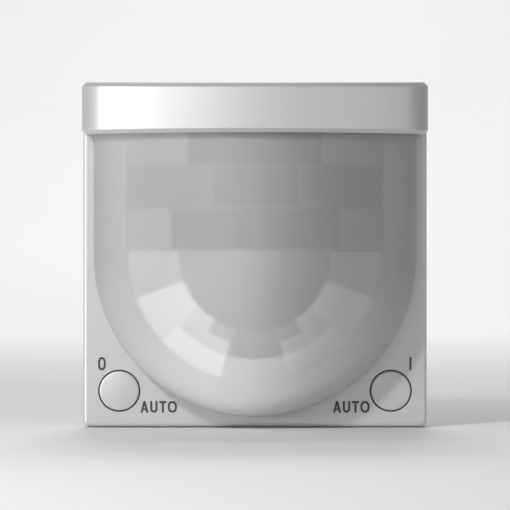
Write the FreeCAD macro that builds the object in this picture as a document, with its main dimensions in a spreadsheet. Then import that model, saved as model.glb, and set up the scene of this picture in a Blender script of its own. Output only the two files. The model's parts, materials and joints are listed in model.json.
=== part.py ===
import FreeCAD, Part
import math
import os
import types
from FreeCAD import Placement, Rotation, Vector
import Sketcher

# Motion detector for a flush-mounted switch range: a square cover with a bulging lens under a
# hood, two push-buttons, and a housing behind it that plugs into the insert in the wall.
#
# Frame, in millimetres: the origin is the centre of the cover's rear rim, X runs to the right
# seen from the room, Z up, and the room is towards -Y. A depth is a distance forwards from the
# rim plane, so a depth d lies at y = -d, and what sits behind the rim has a negative depth.

SIZES = {
    # Cover
    "cover_width": 70.0,
    "cover_height": 70.0,
    "cover_depth": 8.5,
    "front_wall": 2.0,
    "side_wall": 1.8,
    "cover_corner": 1.2,
    "cover_edge": 0.8,
    # Lens: a cap of large radius with a rounded shoulder, on a square flange behind the cover
    "lens_margin": 2.3,
    "lens_rise": 19.8,
    "lens_straight": 4.0,
    "lens_shoulder": 9.0,
    "lens_wall": 1.0,
    "lens_tuck": 3.3,
    "lens_flange": 1.4,
    "lens_clearance": 0.1,
    # Segments of the lens, thinner than its wall: rows and columns above its middle, a fan below
    "segment_relief": 0.25,
    "segment_rib": 0.5,
    "field_half": 25.7,
    "row_low": 0.9,
    "row_middle": 9.35,
    "row_high": 17.8,
    "column_centre": 8.65,
    "column_low": 16.75,
    "column_high": 13.4,
    "fan_inner": 15.1,
    "fan_step": 18.1,
    "fan_middle": 20.8,
    "fan_outer": 25.3,
    "fan_start": 1.5,
    "fan_upper": 20.0,
    "fan_side": 43.0,
    "fan_lower": 58.0,
    "fan_bottom": 74.0,
    "fan_gap": 1.4,
    # Hood over the top of the lens
    "hood_inset": 0.05,
    "hood_above": 0.2,
    "hood_height": 10.9,
    "hood_rise": 22.0,
    "hood_straight": 6.0,
    "hood_shoulder": 9.0,
    "hood_wall": 1.6,
    "hood_fall": 1.15,
    "hood_edge": 0.8,
    "hood_lens_gap": 0.3,
    "peg_spacing": 18.0,
    "peg_drop": 3.9,
    "peg_radius": 1.2,
    "peg_head": 1.7,
    "peg_head_thickness": 0.7,
    "peg_clearance": 0.08,
    "rib_thickness": 1.4,
    "rib_length": 7.0,
    "rib_root": 0.4,
    # Push-buttons, and the tact switches behind them
    "button_margin": 7.33,
    "button_radius": 4.05,
    "button_gap": 0.25,
    "button_proud": 0.45,
    "button_crown": 0.2,
    "button_edge": 0.3,
    "button_top": 1.2,
    "button_skirt": 0.95,
    "button_travel": 0.5,
    "collar_radius": 4.8,
    "collar_thickness": 0.7,
    "collar_play": 0.1,
    "collar_clearance": 0.3,
    "switch_width": 4.0,
    "switch_height": 1.5,
    "plunger_radius": 0.9,
    "plunger_reach": 0.6,
    "plunger_sunk": 0.7,
    "plunger_clearance": 0.05,
    # Circuit boards
    "board_thickness": 1.6,
    "board_margin": 0.6,
    "main_board_gap": 0.4,
    "main_board_back": 5.8,
    # Holder and infrared sensors
    "sensor_height": 8.0,
    "sensor_tilt": 38.0,
    "holder_height": 13.0,
    "holder_nose": 7.0,
    "holder_rise": 10.5,
    "holder_wall": 1.5,
    "can_radius": 4.1,
    "can_height": 3.4,
    "can_flange": 4.6,
    "can_flange_thickness": 0.6,
    "can_seat": 0.6,
    "can_clearance": 0.06,
    "window_width": 4.0,
    "window_height": 3.0,
    "window_thickness": 0.5,
    "lead_radius": 0.23,
    "lead_circle": 2.54,
    "lead_room": 0.7,
    "eye_radius": 1.5,
    "eye_height": 2.4,
    "eye_spacing": 9.0,
    "eye_drop": 13.0,
    # Rear housing
    "tray_recess": 0.6,
    "tray_thickness": 1.6,
    "tray_margin": 0.3,
    "box_width": 44.0,
    "box_wall": 1.6,
    "box_depth": 13.0,
    "box_corner": 2.0,
    "post_width": 3.0,
    "support_radius": 2.6,
    "support_drop": 5.2,
    "catch_length": 9.0,
    "catch_height": 0.6,
    "catch_root": 0.45,
    "catch_thickness": 0.5,
    "catch_spacing": 36.0,
    "screw_margin": 7.0,
    "screw_drop": 3.9,
    "screw_radius": 1.1,
    "screw_length": 5.4,
    "screw_head": 1.9,
    "screw_head_height": 1.0,
    "screw_clearance": 0.06,
    "screw_tip_room": 0.12,
    "screw_head_clearance": 0.2,
    "boss_radius": 2.1,
    # Adjusters on the back
    "adjuster_spacing": 13.0,
    "adjuster_height": 10.0,
    "adjuster_width": 9.6,
    "adjuster_body": 4.6,
    "rotor_radius": 3.1,
    "rotor_sunk": 1.0,
    "rotor_recess": 0.4,
    "rotor_clearance": 0.08,
    "adjuster_window": 3.5,
    "slot_width": 0.8,
    "slot_length": 4.6,
    "slot_depth": 0.9,
    # Plug and board link
    "pin_pitch": 2.54,
    "pin_width": 0.64,
    "pin_clearance": 0.03,
    "plug_width": 14.0,
    "plug_height": 5.6,
    "plug_drop": 11.0,
    "plug_proud": 2.0,
    "plug_pin_reach": 6.0,
    "plug_clearance": 0.3,
    "link_width": 10.6,
    "link_height": 2.5,
    "link_thickness": 2.5,
    "link_margin": 3.4,
    # Parts on the main board
    "chip_width": 10.0,
    "chip_thickness": 1.6,
    "capacitor_radius": 3.1,
    "capacitor_height": 6.2,
    "capacitor_spacing": 9.0,
    # Retaining springs at the sides of the rear box
    "spring_width": 7.0,
    "spring_thickness": 0.4,
    "spring_bulge": 2.6,
    "spring_foot": 3.0,
    "spring_toe": 0.75,
    "spring_bend": 1.2,
    "keeper_thickness": 0.9,
    "keeper_clearance": 0.1,
    "keeper_root": 0.8,
    # How far a cut runs past what it cuts
    "past": 1.0,
}


class Size:
    """A size that carries its value together with the sheet formula that gives it."""

    def __init__(self, value, formula):
        self.value = value
        self.formula = formula

    def __add__(self, other):
        return joined(self, "+", other, self.value + number(other))

    def __radd__(self, other):
        return joined(other, "+", self, other + self.value)

    def __sub__(self, other):
        return joined(self, "-", other, self.value - number(other))

    def __rsub__(self, other):
        return joined(other, "-", self, other - self.value)

    def __mul__(self, other):
        return joined(self, "*", other, self.value * number(other))

    def __rmul__(self, other):
        return joined(other, "*", self, other * self.value)

    def __truediv__(self, other):
        return joined(self, "/", other, self.value / number(other))

    def __neg__(self):
        return joined(0, "-", self, -self.value)


def number(size):
    return size.value if isinstance(size, Size) else float(size)


def formula(size):
    return size.formula if isinstance(size, Size) else str(float(size))


def joined(left, sign, right, value):
    return Size(value, "(%s %s %s)" % (formula(left), sign, formula(right)))


def sine(angle):
    return Size(math.sin(math.radians(angle.value)), "sin(%s)" % angle.formula)


def cosine(angle):
    return Size(math.cos(math.radians(angle.value)), "cos(%s)" % angle.formula)


def tangent(angle):
    return Size(math.tan(math.radians(angle.value)), "tan(%s)" % angle.formula)


def arc_sine(share):
    return Size(math.degrees(math.asin(share.value)), "asin(%s)" % share.formula)


QUARTER_TURN = Size(90.0, "(90 deg)")
HALF_TURN = 180
FULL_TURN = 360


doc = FreeCAD.newDocument("motion_detector")
sheet = doc.addObject("Spreadsheet::Sheet", "dim")
for row, (name, value) in enumerate(SIZES.items(), start=1):
    sheet.set("A%d" % row, name)
    sheet.set("B%d" % row, str(value))
    sheet.setAlias("B%d" % row, name)
doc.recompute()
dim = types.SimpleNamespace(**{name: Size(value, "dim." + name) for name, value in SIZES.items()})


def bind(thing, path, size):
    """Sets one property of an object from a size, and ties it to the sheet."""
    thing.setExpression(path, formula(size))


# Lengths below this count as none
TOUCHING = 1e-3


# Sketches

def new_body(label):
    piece = doc.addObject("PartDesign::Body", label)
    piece.Label = label
    return piece


def sketch(piece, role, offset=0.0):
    """A sketch on one of the body's own planes, moved along the plane's normal."""
    drawing = piece.newObject("Sketcher::SketchObject", "outline")
    planes = [plane for plane in piece.Origin.OriginFeatures if plane.Role == role]
    drawing.AttachmentSupport = [(planes[0], "")]
    drawing.MapMode = "FlatFace"
    drawing.AttachmentOffset = Placement(Vector(0, 0, number(offset)), Rotation())
    bind(drawing, "AttachmentOffset.Base.z", offset)
    return drawing


def front_view(piece, depth):
    """A sketch seen from the room, with X to the right and Z up, at a depth."""
    return sketch(piece, "XZ_Plane", depth)


def plan_view(piece, height=0.0):
    """A sketch seen from above, where the room is down the page, at a height."""
    return sketch(piece, "XY_Plane", height)


def side_view(piece, across=0.0):
    """A sketch of a section across X, with Y to the right and Z up."""
    return sketch(piece, "YZ_Plane", across)


def hold(drawing, kind, curve, end, distance):
    """Holds one end of a curve at a signed distance from the sketch's origin."""
    if number(distance) >= 0:
        rule = Sketcher.Constraint(kind, -1, 1, curve, end, number(distance))
    else:
        rule = Sketcher.Constraint(kind, curve, end, -1, 1, -number(distance))
        distance = -distance
    index = drawing.addConstraint(rule)
    if isinstance(distance, Size):
        drawing.setExpression("Constraints[%d]" % index, formula(distance))


def pin_point(drawing, curve, end, across, up):
    hold(drawing, "DistanceX", curve, end, across)
    hold(drawing, "DistanceY", curve, end, up)


def set_radius(drawing, curve, radius):
    index = drawing.addConstraint(Sketcher.Constraint("Radius", curve, number(radius)))
    if isinstance(radius, Size):
        drawing.setExpression("Constraints[%d]" % index, formula(radius))


def point(across, up):
    return Vector(number(across), number(up), 0)


def polygon(drawing, corners):
    """A closed outline of straight lines, each corner held at its own place."""
    lines = []
    for index, corner in enumerate(corners):
        following = corners[(index + 1) % len(corners)]
        lines.append(drawing.addGeometry(Part.LineSegment(point(*corner), point(*following)), False))
    for index, line in enumerate(lines):
        following = lines[(index + 1) % len(lines)]
        drawing.addConstraint(Sketcher.Constraint("Coincident", line, 2, following, 1))
        pin_point(drawing, line, 1, *corners[index])
    return drawing


def rectangle(drawing, left, right, low, high):
    return polygon(drawing, [(left, low), (right, low), (right, high), (left, high)])


def centred_rectangle(drawing, across, up, width, height):
    left, right = across - width / 2, across + width / 2
    return rectangle(drawing, left, right, up - height / 2, up + height / 2)


def circle(drawing, across, up, radius):
    curve = drawing.addGeometry(Part.Circle(point(across, up), Vector(0, 0, 1), number(radius)), False)
    pin_point(drawing, curve, 3, across, up)
    set_radius(drawing, curve, radius)
    return drawing


def u_outline(drawing, radius, middle, top):
    """A half circle about a point of the axis, with straight sides up to a level top."""
    r, m, t = number(radius), number(middle), number(top)
    bowl = Part.ArcOfCircle(Part.Circle(Vector(0, m, 0), Vector(0, 0, 1), r), math.pi, 2 * math.pi)
    arc = drawing.addGeometry(bowl, False)
    right = drawing.addGeometry(Part.LineSegment(Vector(r, m, 0), Vector(r, t, 0)), False)
    across = drawing.addGeometry(Part.LineSegment(Vector(r, t, 0), Vector(-r, t, 0)), False)
    left = drawing.addGeometry(Part.LineSegment(Vector(-r, t, 0), Vector(-r, m, 0)), False)
    pin_point(drawing, arc, 3, 0.0, middle)
    drawing.addConstraint(Sketcher.Constraint("Coincident", arc, 2, right, 1))
    drawing.addConstraint(Sketcher.Constraint("Coincident", right, 2, across, 1))
    drawing.addConstraint(Sketcher.Constraint("Coincident", across, 2, left, 1))
    drawing.addConstraint(Sketcher.Constraint("Coincident", left, 2, arc, 1))
    drawing.addConstraint(Sketcher.Constraint("Horizontal", arc, 1, arc, 3))
    drawing.addConstraint(Sketcher.Constraint("Horizontal", arc, 2, arc, 3))
    drawing.addConstraint(Sketcher.Constraint("Vertical", right))
    drawing.addConstraint(Sketcher.Constraint("Vertical", left))
    drawing.addConstraint(Sketcher.Constraint("Horizontal", across))
    set_radius(drawing, arc, radius)
    hold(drawing, "DistanceY", across, 1, top)
    return drawing


def arch(drawing, half_width, base, spring_line, shoulder, apex, whole):
    """The plan of the lens or the hood: a straight side from the base to the spring line, a
    shoulder arc, and a front arc of large radius that meets the shoulder smoothly. Depths run
    down the page. The right half alone is closed along the axis, the whole arch is mirrored."""
    w, b, line, r, tip = (number(size) for size in (half_width, base, spring_line, shoulder, apex))
    inset = w - r
    rise = tip - line
    front = (inset ** 2 + rise ** 2 - r ** 2) / (2 * (rise - r))
    turn = math.asin(inset / (front - r))
    shoulder_centre = Vector(inset, -line, 0)
    front_centre = Vector(0, front - tip, 0)
    quarter = math.pi / 2

    def arc(centre, radius, start, end):
        ring = Part.Circle(centre, Vector(0, 0, 1), radius)
        return drawing.addGeometry(Part.ArcOfCircle(ring, start, end), False)

    def straight(x1, y1, x2, y2):
        return drawing.addGeometry(Part.LineSegment(Vector(x1, y1, 0), Vector(x2, y2, 0)), False)

    def tie(kind, *places):
        drawing.addConstraint(Sketcher.Constraint(kind, *places))

    right_side = straight(w, -b, w, -line)
    right_shoulder = arc(shoulder_centre, r, turn - quarter, 0)
    start = -quarter - turn if whole else -quarter
    front_arc = arc(front_centre, front, start, turn - quarter)
    tie("Tangent", right_side, 2, right_shoulder, 2)
    tie("Tangent", right_shoulder, 1, front_arc, 2)
    tie("Vertical", right_side)
    tie("PointOnObject", front_arc, 3, -2)
    set_radius(drawing, right_shoulder, shoulder)
    pin_point(drawing, right_side, 1, half_width, -base)
    hold(drawing, "DistanceY", right_shoulder, 3, -spring_line)
    if not whole:
        axis = straight(0, -tip, 0, -b)
        back = straight(0, -b, w, -b)
        tie("Coincident", front_arc, 1, axis, 1)
        tie("Coincident", axis, 2, back, 1)
        tie("Coincident", back, 2, right_side, 1)
        tie("PointOnObject", axis, 1, -2)
        tie("PointOnObject", axis, 2, -2)
        tie("Horizontal", back)
        hold(drawing, "DistanceY", axis, 1, -apex)
        return drawing
    left_shoulder = arc(Vector(-inset, -line, 0), r, -math.pi, -quarter - turn)
    left_side = straight(-w, -line, -w, -b)
    back = straight(-w, -b, w, -b)
    tie("Tangent", front_arc, 1, left_shoulder, 2)
    tie("Tangent", left_shoulder, 1, left_side, 1)
    tie("Coincident", left_side, 2, back, 1)
    tie("Coincident", back, 2, right_side, 1)
    tie("Symmetric", back, 1, back, 2, -2)
    tie("Equal", left_shoulder, right_shoulder)
    tie("Vertical", left_side)
    tip_point = drawing.addGeometry(Part.Point(Vector(0, -tip, 0)), True)
    tie("PointOnObject", tip_point, 1, -2)
    tie("PointOnObject", tip_point, 1, front_arc)
    hold(drawing, "DistanceY", tip_point, 1, -apex)
    return drawing


# Features

def pad(piece, drawing, length):
    """Adds material from the sketch along its normal: forwards, upwards or to the right."""
    feature = piece.newObject("PartDesign::Pad", "pad")
    feature.Profile = drawing
    bind(feature, "Length", length)
    doc.recompute()
    return feature


def cut(piece, drawing, length):
    """Takes material away from the sketch along its normal."""
    before = piece.Shape.Volume
    feature = piece.newObject("PartDesign::Pocket", "pocket")
    feature.Profile = drawing
    feature.Reversed = True
    bind(feature, "Length", length)
    doc.recompute()
    if not piece.Shape.Volume < before:
        raise ValueError("a pocket of %s takes nothing away" % piece.Label)
    return feature


def turned(piece, kind, drawing, angle, flip):
    """Turns a plan sketch about the Y axis, adding or taking away."""
    before = piece.Shape.Volume if piece.Tip else 0.0
    feature = piece.newObject(kind, "turned")
    feature.Profile = drawing
    feature.ReferenceAxis = (drawing, ["V_Axis"])
    feature.Angle = angle
    feature.Reversed = flip
    doc.recompute()
    if abs(piece.Shape.Volume - before) < TOUCHING:
        raise ValueError("a turned feature of %s changes nothing" % piece.Label)
    return feature


def edge_feature(piece, kind, prop, size, wanted):
    """Works along the edges of the body's last shape that the test picks."""
    tip = piece.Tip
    names = ["Edge%d" % (i + 1) for i, edge in enumerate(tip.Shape.Edges) if wanted(edge)]
    if not names:
        raise ValueError("no edge of %s to round or bevel" % piece.Label)
    feature = piece.newObject(kind, "edges")
    feature.Base = (tip, names)
    bind(feature, prop, size)
    doc.recompute()
    return feature


def rounded(piece, radius, wanted):
    return edge_feature(piece, "PartDesign::Fillet", "Radius", radius, wanted)


def bevelled(piece, size, wanted):
    return edge_feature(piece, "PartDesign::Chamfer", "Size", size, wanted)


def runs_forwards(edge):
    box = edge.BoundBox
    return box.YLength > TOUCHING > max(box.XLength, box.ZLength)


def lies_at_depth(edge, depth):
    box = edge.BoundBox
    return max(abs(box.YMin + number(depth)), abs(box.YMax + number(depth))) < TOUCHING


# Primitives

def block(label, across, up, width, height, back, front):
    """A box centred on a point of the front view, from one depth to another."""
    piece = doc.addObject("Part::Box", label)
    piece.Label = label
    bind(piece, "Length", width)
    bind(piece, "Width", front - back)
    bind(piece, "Height", height)
    bind(piece, "Placement.Base.x", across - width / 2)
    bind(piece, "Placement.Base.y", -front)
    bind(piece, "Placement.Base.z", up - height / 2)
    return piece


def round_bar(label, across, up, radius, back, front):
    """A cylinder along Y on a point of the front view, from one depth to another."""
    piece = doc.addObject("Part::Cylinder", label)
    piece.Label = label
    piece.Placement = Placement(Vector(), Rotation(Vector(1, 0, 0), 90))
    bind(piece, "Radius", radius)
    bind(piece, "Height", front - back)
    bind(piece, "Placement.Base.x", across)
    bind(piece, "Placement.Base.y", -back)
    bind(piece, "Placement.Base.z", up)
    return piece


def less(label, base, *tools):
    """The base with the tools taken away, under a label of its own."""
    tool = tools[0] if len(tools) == 1 else joined_pieces(label + "_cutters", *tools)
    piece = doc.addObject("Part::Cut", label)
    piece.Label = label
    piece.Base = base
    piece.Tool = tool
    doc.recompute()
    return piece


def shared(label, base, tool):
    """What the base and the tool have in common."""
    piece = doc.addObject("Part::Common", label)
    piece.Label = label
    piece.Base = base
    piece.Tool = tool
    doc.recompute()
    return piece


def joined_pieces(label, *pieces):
    piece = doc.addObject("Part::MultiFuse", label)
    piece.Label = label
    piece.Shapes = list(pieces)
    doc.recompute()
    return piece


def group(label, *pieces):
    """Separate solids that count as one sub-part."""
    piece = doc.addObject("Part::Compound", label)
    piece.Label = label
    piece.Links = list(pieces)
    doc.recompute()
    return piece


# Layers, as depths from the cover's face to the back of the housing

SIDES = {"left": -1, "right": 1}
ADJUSTERS = {"lux": -1, "time": 0, "sensitivity": 1}

face = dim.cover_depth
wall_back = face - dim.front_wall
flange_back = wall_back - dim.lens_flange
board_back = flange_back - dim.board_thickness
tray_back = dim.tray_recess
tray_front = tray_back + dim.tray_thickness
box_back = -dim.box_depth
box_floor = box_back + dim.box_wall
main_back = box_floor + dim.main_board_back
main_front = main_back + dim.board_thickness

cover_half = dim.cover_width / 2
cover_top = dim.cover_height / 2
inner_half = cover_half - dim.side_wall
inner_low = dim.side_wall - cover_top
screw_x = cover_half - dim.screw_margin
screw_z = cover_top - dim.screw_drop
boss_low = screw_z - dim.boss_radius
button_x = cover_half - dim.button_margin
button_z = dim.button_margin - cover_top
hood_half = cover_half - dim.hood_inset
hood_top = cover_top + dim.hood_above
hood_bottom = hood_top - dim.hood_height
hood_ceiling = hood_top - dim.hood_fall - dim.hood_wall
peg_z = hood_top - dim.peg_drop
box_half = dim.box_width / 2
box_inner = box_half - dim.box_wall
main_board_width = 2 * (box_inner - dim.main_board_gap)
plug_z = -dim.plug_drop
link_z = dim.link_margin - box_inner

# The lens's outline is as far from the cover's sides as from its lower edge, so its round part is
# centred this high
lens_radius = cover_half - dim.lens_margin
lens_middle = lens_radius + dim.lens_margin - cover_top
lens_top = hood_bottom + dim.lens_tuck


def peg_places():
    return [(step * dim.peg_spacing, peg_z) for step in (-1, 0, 1)]


def screw_places():
    return [(side * screw_x, screw_z) for side in SIDES.values()]


def button_places():
    return [(side * button_x, button_z) for side in SIDES.values()]


def circles(drawing, places, radius):
    for across, up in places:
        circle(drawing, across, up, radius)
    return drawing


# Cover and hood

def cover_plate():
    """The square cover: a tray open to the rear, with the lens opening and the button holes."""
    piece = new_body("cover_plate")
    outline = centred_rectangle(front_view(piece, 0.0), 0, 0, dim.cover_width, dim.cover_height)
    pad(piece, outline, dim.cover_depth)
    rounded(piece, dim.cover_corner, runs_forwards)
    rounded(piece, dim.cover_edge, lambda edge: lies_at_depth(edge, face))
    inside_width = dim.cover_width - 2 * dim.side_wall
    inside_height = dim.cover_height - 2 * dim.side_wall
    inside = centred_rectangle(front_view(piece, 0.0), 0, 0, inside_width, inside_height)
    cut(piece, inside, wall_back)
    opening = u_outline(front_view(piece, wall_back), lens_radius + dim.lens_clearance,
                        lens_middle, lens_top + dim.lens_clearance)
    cut(piece, opening, dim.front_wall)
    holes = circles(front_view(piece, wall_back), button_places(), dim.button_radius + dim.button_gap)
    cut(piece, holes, dim.front_wall)
    pegs = circles(front_view(piece, wall_back), peg_places(), dim.peg_radius + dim.peg_clearance)
    cut(piece, pegs, dim.front_wall)
    bosses = circles(front_view(piece, tray_front), screw_places(), dim.boss_radius)
    pad(piece, bosses, wall_back - tray_front)
    pilots = circles(front_view(piece, tray_front), screw_places(), dim.screw_radius + dim.screw_clearance)
    screw_tip = tray_back + dim.screw_head_height + dim.screw_length
    cut(piece, pilots, screw_tip + dim.screw_tip_room - tray_front)
    catches(piece)
    return piece


def catches(piece):
    """Ledges inside the side walls that the housing's tray snaps behind."""
    start = tray_back - dim.keeper_clearance / 2 - dim.catch_thickness
    for side in SIDES.values():
        for step in (-1, 1):
            ledge = front_view(piece, start)
            width = dim.catch_height + dim.catch_root
            middle = side * (inner_half + dim.catch_root - width / 2)
            centred_rectangle(ledge, middle, step * dim.catch_spacing / 2, width, dim.catch_length)
            pad(piece, ledge, dim.catch_thickness)


def hood_arch(drawing, half_width, inset):
    """The hood's plan, moved in by a wall."""
    return arch(drawing, half_width, face, face + dim.hood_straight, dim.hood_shoulder - inset,
                face + dim.hood_rise - inset, True)


def runs_round_the_hood(edge):
    """Picks the edges of the hood's top and underside, apart from those that lie on the cover."""
    box = edge.BoundBox
    return box.YMin < -number(face) - TOUCHING and box.ZLength < number(dim.hood_fall) + TOUCHING


def hood():
    """The cap over the top of the lens: arched in plan, open to the cover behind it."""
    piece = new_body("hood")
    pad(piece, hood_arch(plan_view(piece, hood_bottom), hood_half, 0.0), dim.hood_height)
    slope = side_view(piece, -hood_half - dim.past)
    front = -face - dim.hood_rise - dim.past
    front_fall = dim.hood_fall * (dim.hood_rise + dim.past) / dim.hood_rise
    polygon(slope, [(-face, hood_top), (front, hood_top - front_fall), (front, hood_top + dim.past),
                    (-face, hood_top + dim.past)])
    cut(piece, slope, 2 * (hood_half + dim.past))
    bevelled(piece, dim.hood_edge, runs_round_the_hood)
    floor = hood_bottom + dim.hood_wall
    inner_half_width = hood_half - dim.hood_wall
    cut(piece, hood_arch(plan_view(piece, floor), inner_half_width, dim.hood_wall), hood_ceiling - floor)
    slot = plan_view(piece, hood_bottom)
    gap = dim.hood_lens_gap
    arch(slot, lens_radius + gap, face, face + dim.lens_straight, dim.lens_shoulder + gap,
         face + dim.lens_rise + gap, True)
    cut(piece, slot, dim.hood_wall)
    rib_low = peg_z - dim.peg_radius
    for across, up in peg_places():
        rib = front_view(piece, face)
        rectangle(rib, across - dim.rib_thickness / 2, across + dim.rib_thickness / 2, rib_low,
                  hood_ceiling + dim.rib_root)
        pad(piece, rib, dim.rib_length)
    pad(piece, circles(front_view(piece, wall_back), peg_places(), dim.peg_radius), dim.front_wall)
    heads = circles(front_view(piece, wall_back - dim.peg_head_thickness), peg_places(), dim.peg_head)
    pad(piece, heads, dim.peg_head_thickness)
    return piece


# Lens

FRONT_ZONES = 8
SHOULDER_ZONES = 5


def lens_arch(drawing, whole):
    return arch(drawing, lens_radius, flange_back, face + dim.lens_straight, dim.lens_shoulder,
                face + dim.lens_rise, whole)


def zones(drawing, inset, whole):
    """The lens's section on the inside, as a row of straight zones whose corners lie on arcs that
    run parallel to the outside. The right half alone is closed along the axis."""
    across = lens_radius - dim.lens_shoulder
    rise = dim.lens_rise - dim.lens_straight
    shoulder = dim.lens_shoulder - inset
    front = (across * across + rise * rise - dim.lens_shoulder * dim.lens_shoulder) / (
        2 * (rise - dim.lens_shoulder))
    turn = arc_sine(across / (front - dim.lens_shoulder))
    spring_line = face + dim.lens_straight
    front_middle = face + dim.lens_rise - front
    corners = [(lens_radius - inset, -flange_back)]
    for step in range(SHOULDER_ZONES + 1):
        angle = QUARTER_TURN - (QUARTER_TURN - turn) * step / SHOULDER_ZONES
        corners.append((across + shoulder * sine(angle), -(spring_line + shoulder * cosine(angle))))
    for step in range(1, FRONT_ZONES):
        angle = turn * (FRONT_ZONES - step) / FRONT_ZONES
        radius = front - inset
        corners.append((radius * sine(angle), -(front_middle + radius * cosine(angle))))
    tip = -(face + dim.lens_rise - inset)
    if whole:
        mirrored = [(-along, depth) for along, depth in reversed(corners)]
        return polygon(drawing, corners + [(0.0, tip)] + mirrored)
    return polygon(drawing, corners + [(0.0, tip), (0.0, -flange_back)])


def lens_hollow(piece, inset, turn_kind, pad_or_cut):
    """The space inside the lens: its section turned below the middle and drawn straight up."""
    turned(piece, turn_kind, zones(plan_view(piece, lens_middle), inset, False), HALF_TURN, False)
    drawn = zones(plan_view(piece, lens_middle), inset, True)
    pad_or_cut(piece, drawn, lens_top - dim.lens_wall - lens_middle)


def window(label, left, right, low, high):
    """A block through the lens's front behind one segment, a rib narrower than its cell."""
    width = right - left - dim.segment_rib
    height = high - low - dim.segment_rib
    return block(label, (left + right) / 2, lens_middle + (low + high) / 2, width, height, flange_back,
                 face + dim.lens_rise)


def fan_window(label, start, end, inner, outer):
    """A sector between two radii through the lens's front, its angles counted from the right."""
    rings = []
    for name, radius in (("inner", inner + dim.segment_rib / 2), ("outer", outer - dim.segment_rib / 2)):
        ring = round_bar("%s_%s" % (label, name), 0, lens_middle, radius, flange_back,
                         face + dim.lens_rise)
        rings.append(ring)
    begin = number(start) + number(dim.fan_gap) / 2
    bind(rings[1], "Angle", end - start - dim.fan_gap)
    rings[1].Placement.Rotation = Rotation(Vector(1, 0, 0), 90) * Rotation(Vector(0, 0, 1), begin)
    return less(label, rings[1], rings[0])


def segment_windows():
    """One window for each segment: rows of cells above the lens's middle, a fan below it."""
    half, centre, low, high = dim.field_half, dim.column_centre, dim.column_low, dim.column_high
    rows = [(dim.row_low, dim.row_middle, [-half, -low, 0.0, low, half]),
            (dim.row_middle, dim.row_high, [-half, -centre, centre, half]),
            (dim.row_high, lens_top - lens_middle, [-half, -high, high, half])]
    windows = []
    for bottom, top, borders in rows:
        for left, right in zip(borders[:-1], borders[1:]):
            windows.append(window("window_%d" % (len(windows) + 1), left, right, bottom, top))
    fan = [(dim.fan_start, dim.fan_upper, dim.fan_inner, dim.fan_outer),
           (dim.fan_upper, dim.fan_side, dim.fan_inner, dim.fan_outer),
           (dim.fan_side, dim.fan_lower, dim.fan_inner, dim.fan_middle),
           (dim.fan_side, dim.fan_bottom, dim.fan_middle, dim.fan_outer),
           (dim.fan_lower, dim.fan_bottom, dim.fan_step, dim.fan_middle)]
    for start, end, inner, outer in fan:
        windows.append(fan_window("fan_%d" % len(windows), -end, -start, inner, outer))
        windows.append(fan_window("fan_%d" % len(windows), HALF_TURN + start, HALF_TURN + end, inner, outer))
    windows.append(fan_window("fan_%d" % len(windows), HALF_TURN + dim.fan_bottom,
                              FULL_TURN - dim.fan_bottom, dim.fan_inner, dim.fan_middle))
    return windows


def lens_dome():
    """The lens: half a shallow bowl below, drawn straight up into the hood, on its flange. Its
    inside is made of flat and conical zones, with a thinner window for each segment."""
    piece = new_body("lens_shell")
    flange_half = inner_half - dim.lens_clearance
    flange_low = inner_low + dim.lens_clearance
    flange_high = boss_low - dim.collar_clearance
    flange = front_view(piece, flange_back)
    rectangle(flange, -flange_half, flange_half, flange_low, flange_high)
    pad(piece, flange, dim.lens_flange)
    room = dim.collar_radius + dim.collar_clearance
    cut(piece, circles(front_view(piece, flange_back), button_places(), room), dim.lens_flange)
    for side in SIDES.values():
        corner = front_view(piece, flange_back)
        outer = side * (flange_half + dim.lens_flange)
        rectangle(corner, side * button_x, outer, flange_low - dim.lens_flange, button_z)
        cut(piece, corner, dim.lens_flange)
    turned(piece, "PartDesign::Revolution", lens_arch(plan_view(piece, lens_middle), False),
           HALF_TURN, False)
    pad(piece, lens_arch(plan_view(piece, lens_middle), True), lens_top - lens_middle)
    lens_hollow(piece, dim.lens_wall, "PartDesign::Groove", cut)
    core = new_body("lens_core")
    lens_hollow(core, dim.lens_wall - dim.segment_relief, "PartDesign::Revolution", pad)
    recesses = shared("lens_recesses", core, joined_pieces("lens_windows", *segment_windows()))
    return less("lens_dome", piece, recesses)


# Push-buttons and their switches

collar_front = wall_back - dim.collar_play
collar_back = collar_front - dim.collar_thickness
cap_face = face + dim.button_proud
plunger_top = flange_back + dim.switch_height + dim.plunger_reach


def button(name, side):
    """A round cap with a slightly crowned face, a skirt with a collar, and a pin for the switch."""
    piece = new_body(name + "_button")
    ceiling = cap_face - dim.button_top
    skirt = dim.button_radius - dim.button_skirt
    crown_edge = cap_face - dim.button_crown
    bevel = dim.button_edge
    corners = [(0, plunger_top), (dim.plunger_radius, plunger_top), (dim.plunger_radius, ceiling),
               (skirt, ceiling), (skirt, collar_back), (dim.collar_radius, collar_back),
               (dim.collar_radius, collar_front), (dim.button_radius, collar_front),
               (dim.button_radius, crown_edge - bevel), (dim.button_radius - bevel, crown_edge),
               (0, cap_face)]
    profile = plan_view(piece)
    crown_from(profile, [(across, -depth) for across, depth in corners])
    turned(piece, "PartDesign::Revolution", profile, FULL_TURN, False)
    bind(piece, "Placement.Base.x", side * button_x)
    bind(piece, "Placement.Base.z", button_z)
    return piece


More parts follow.
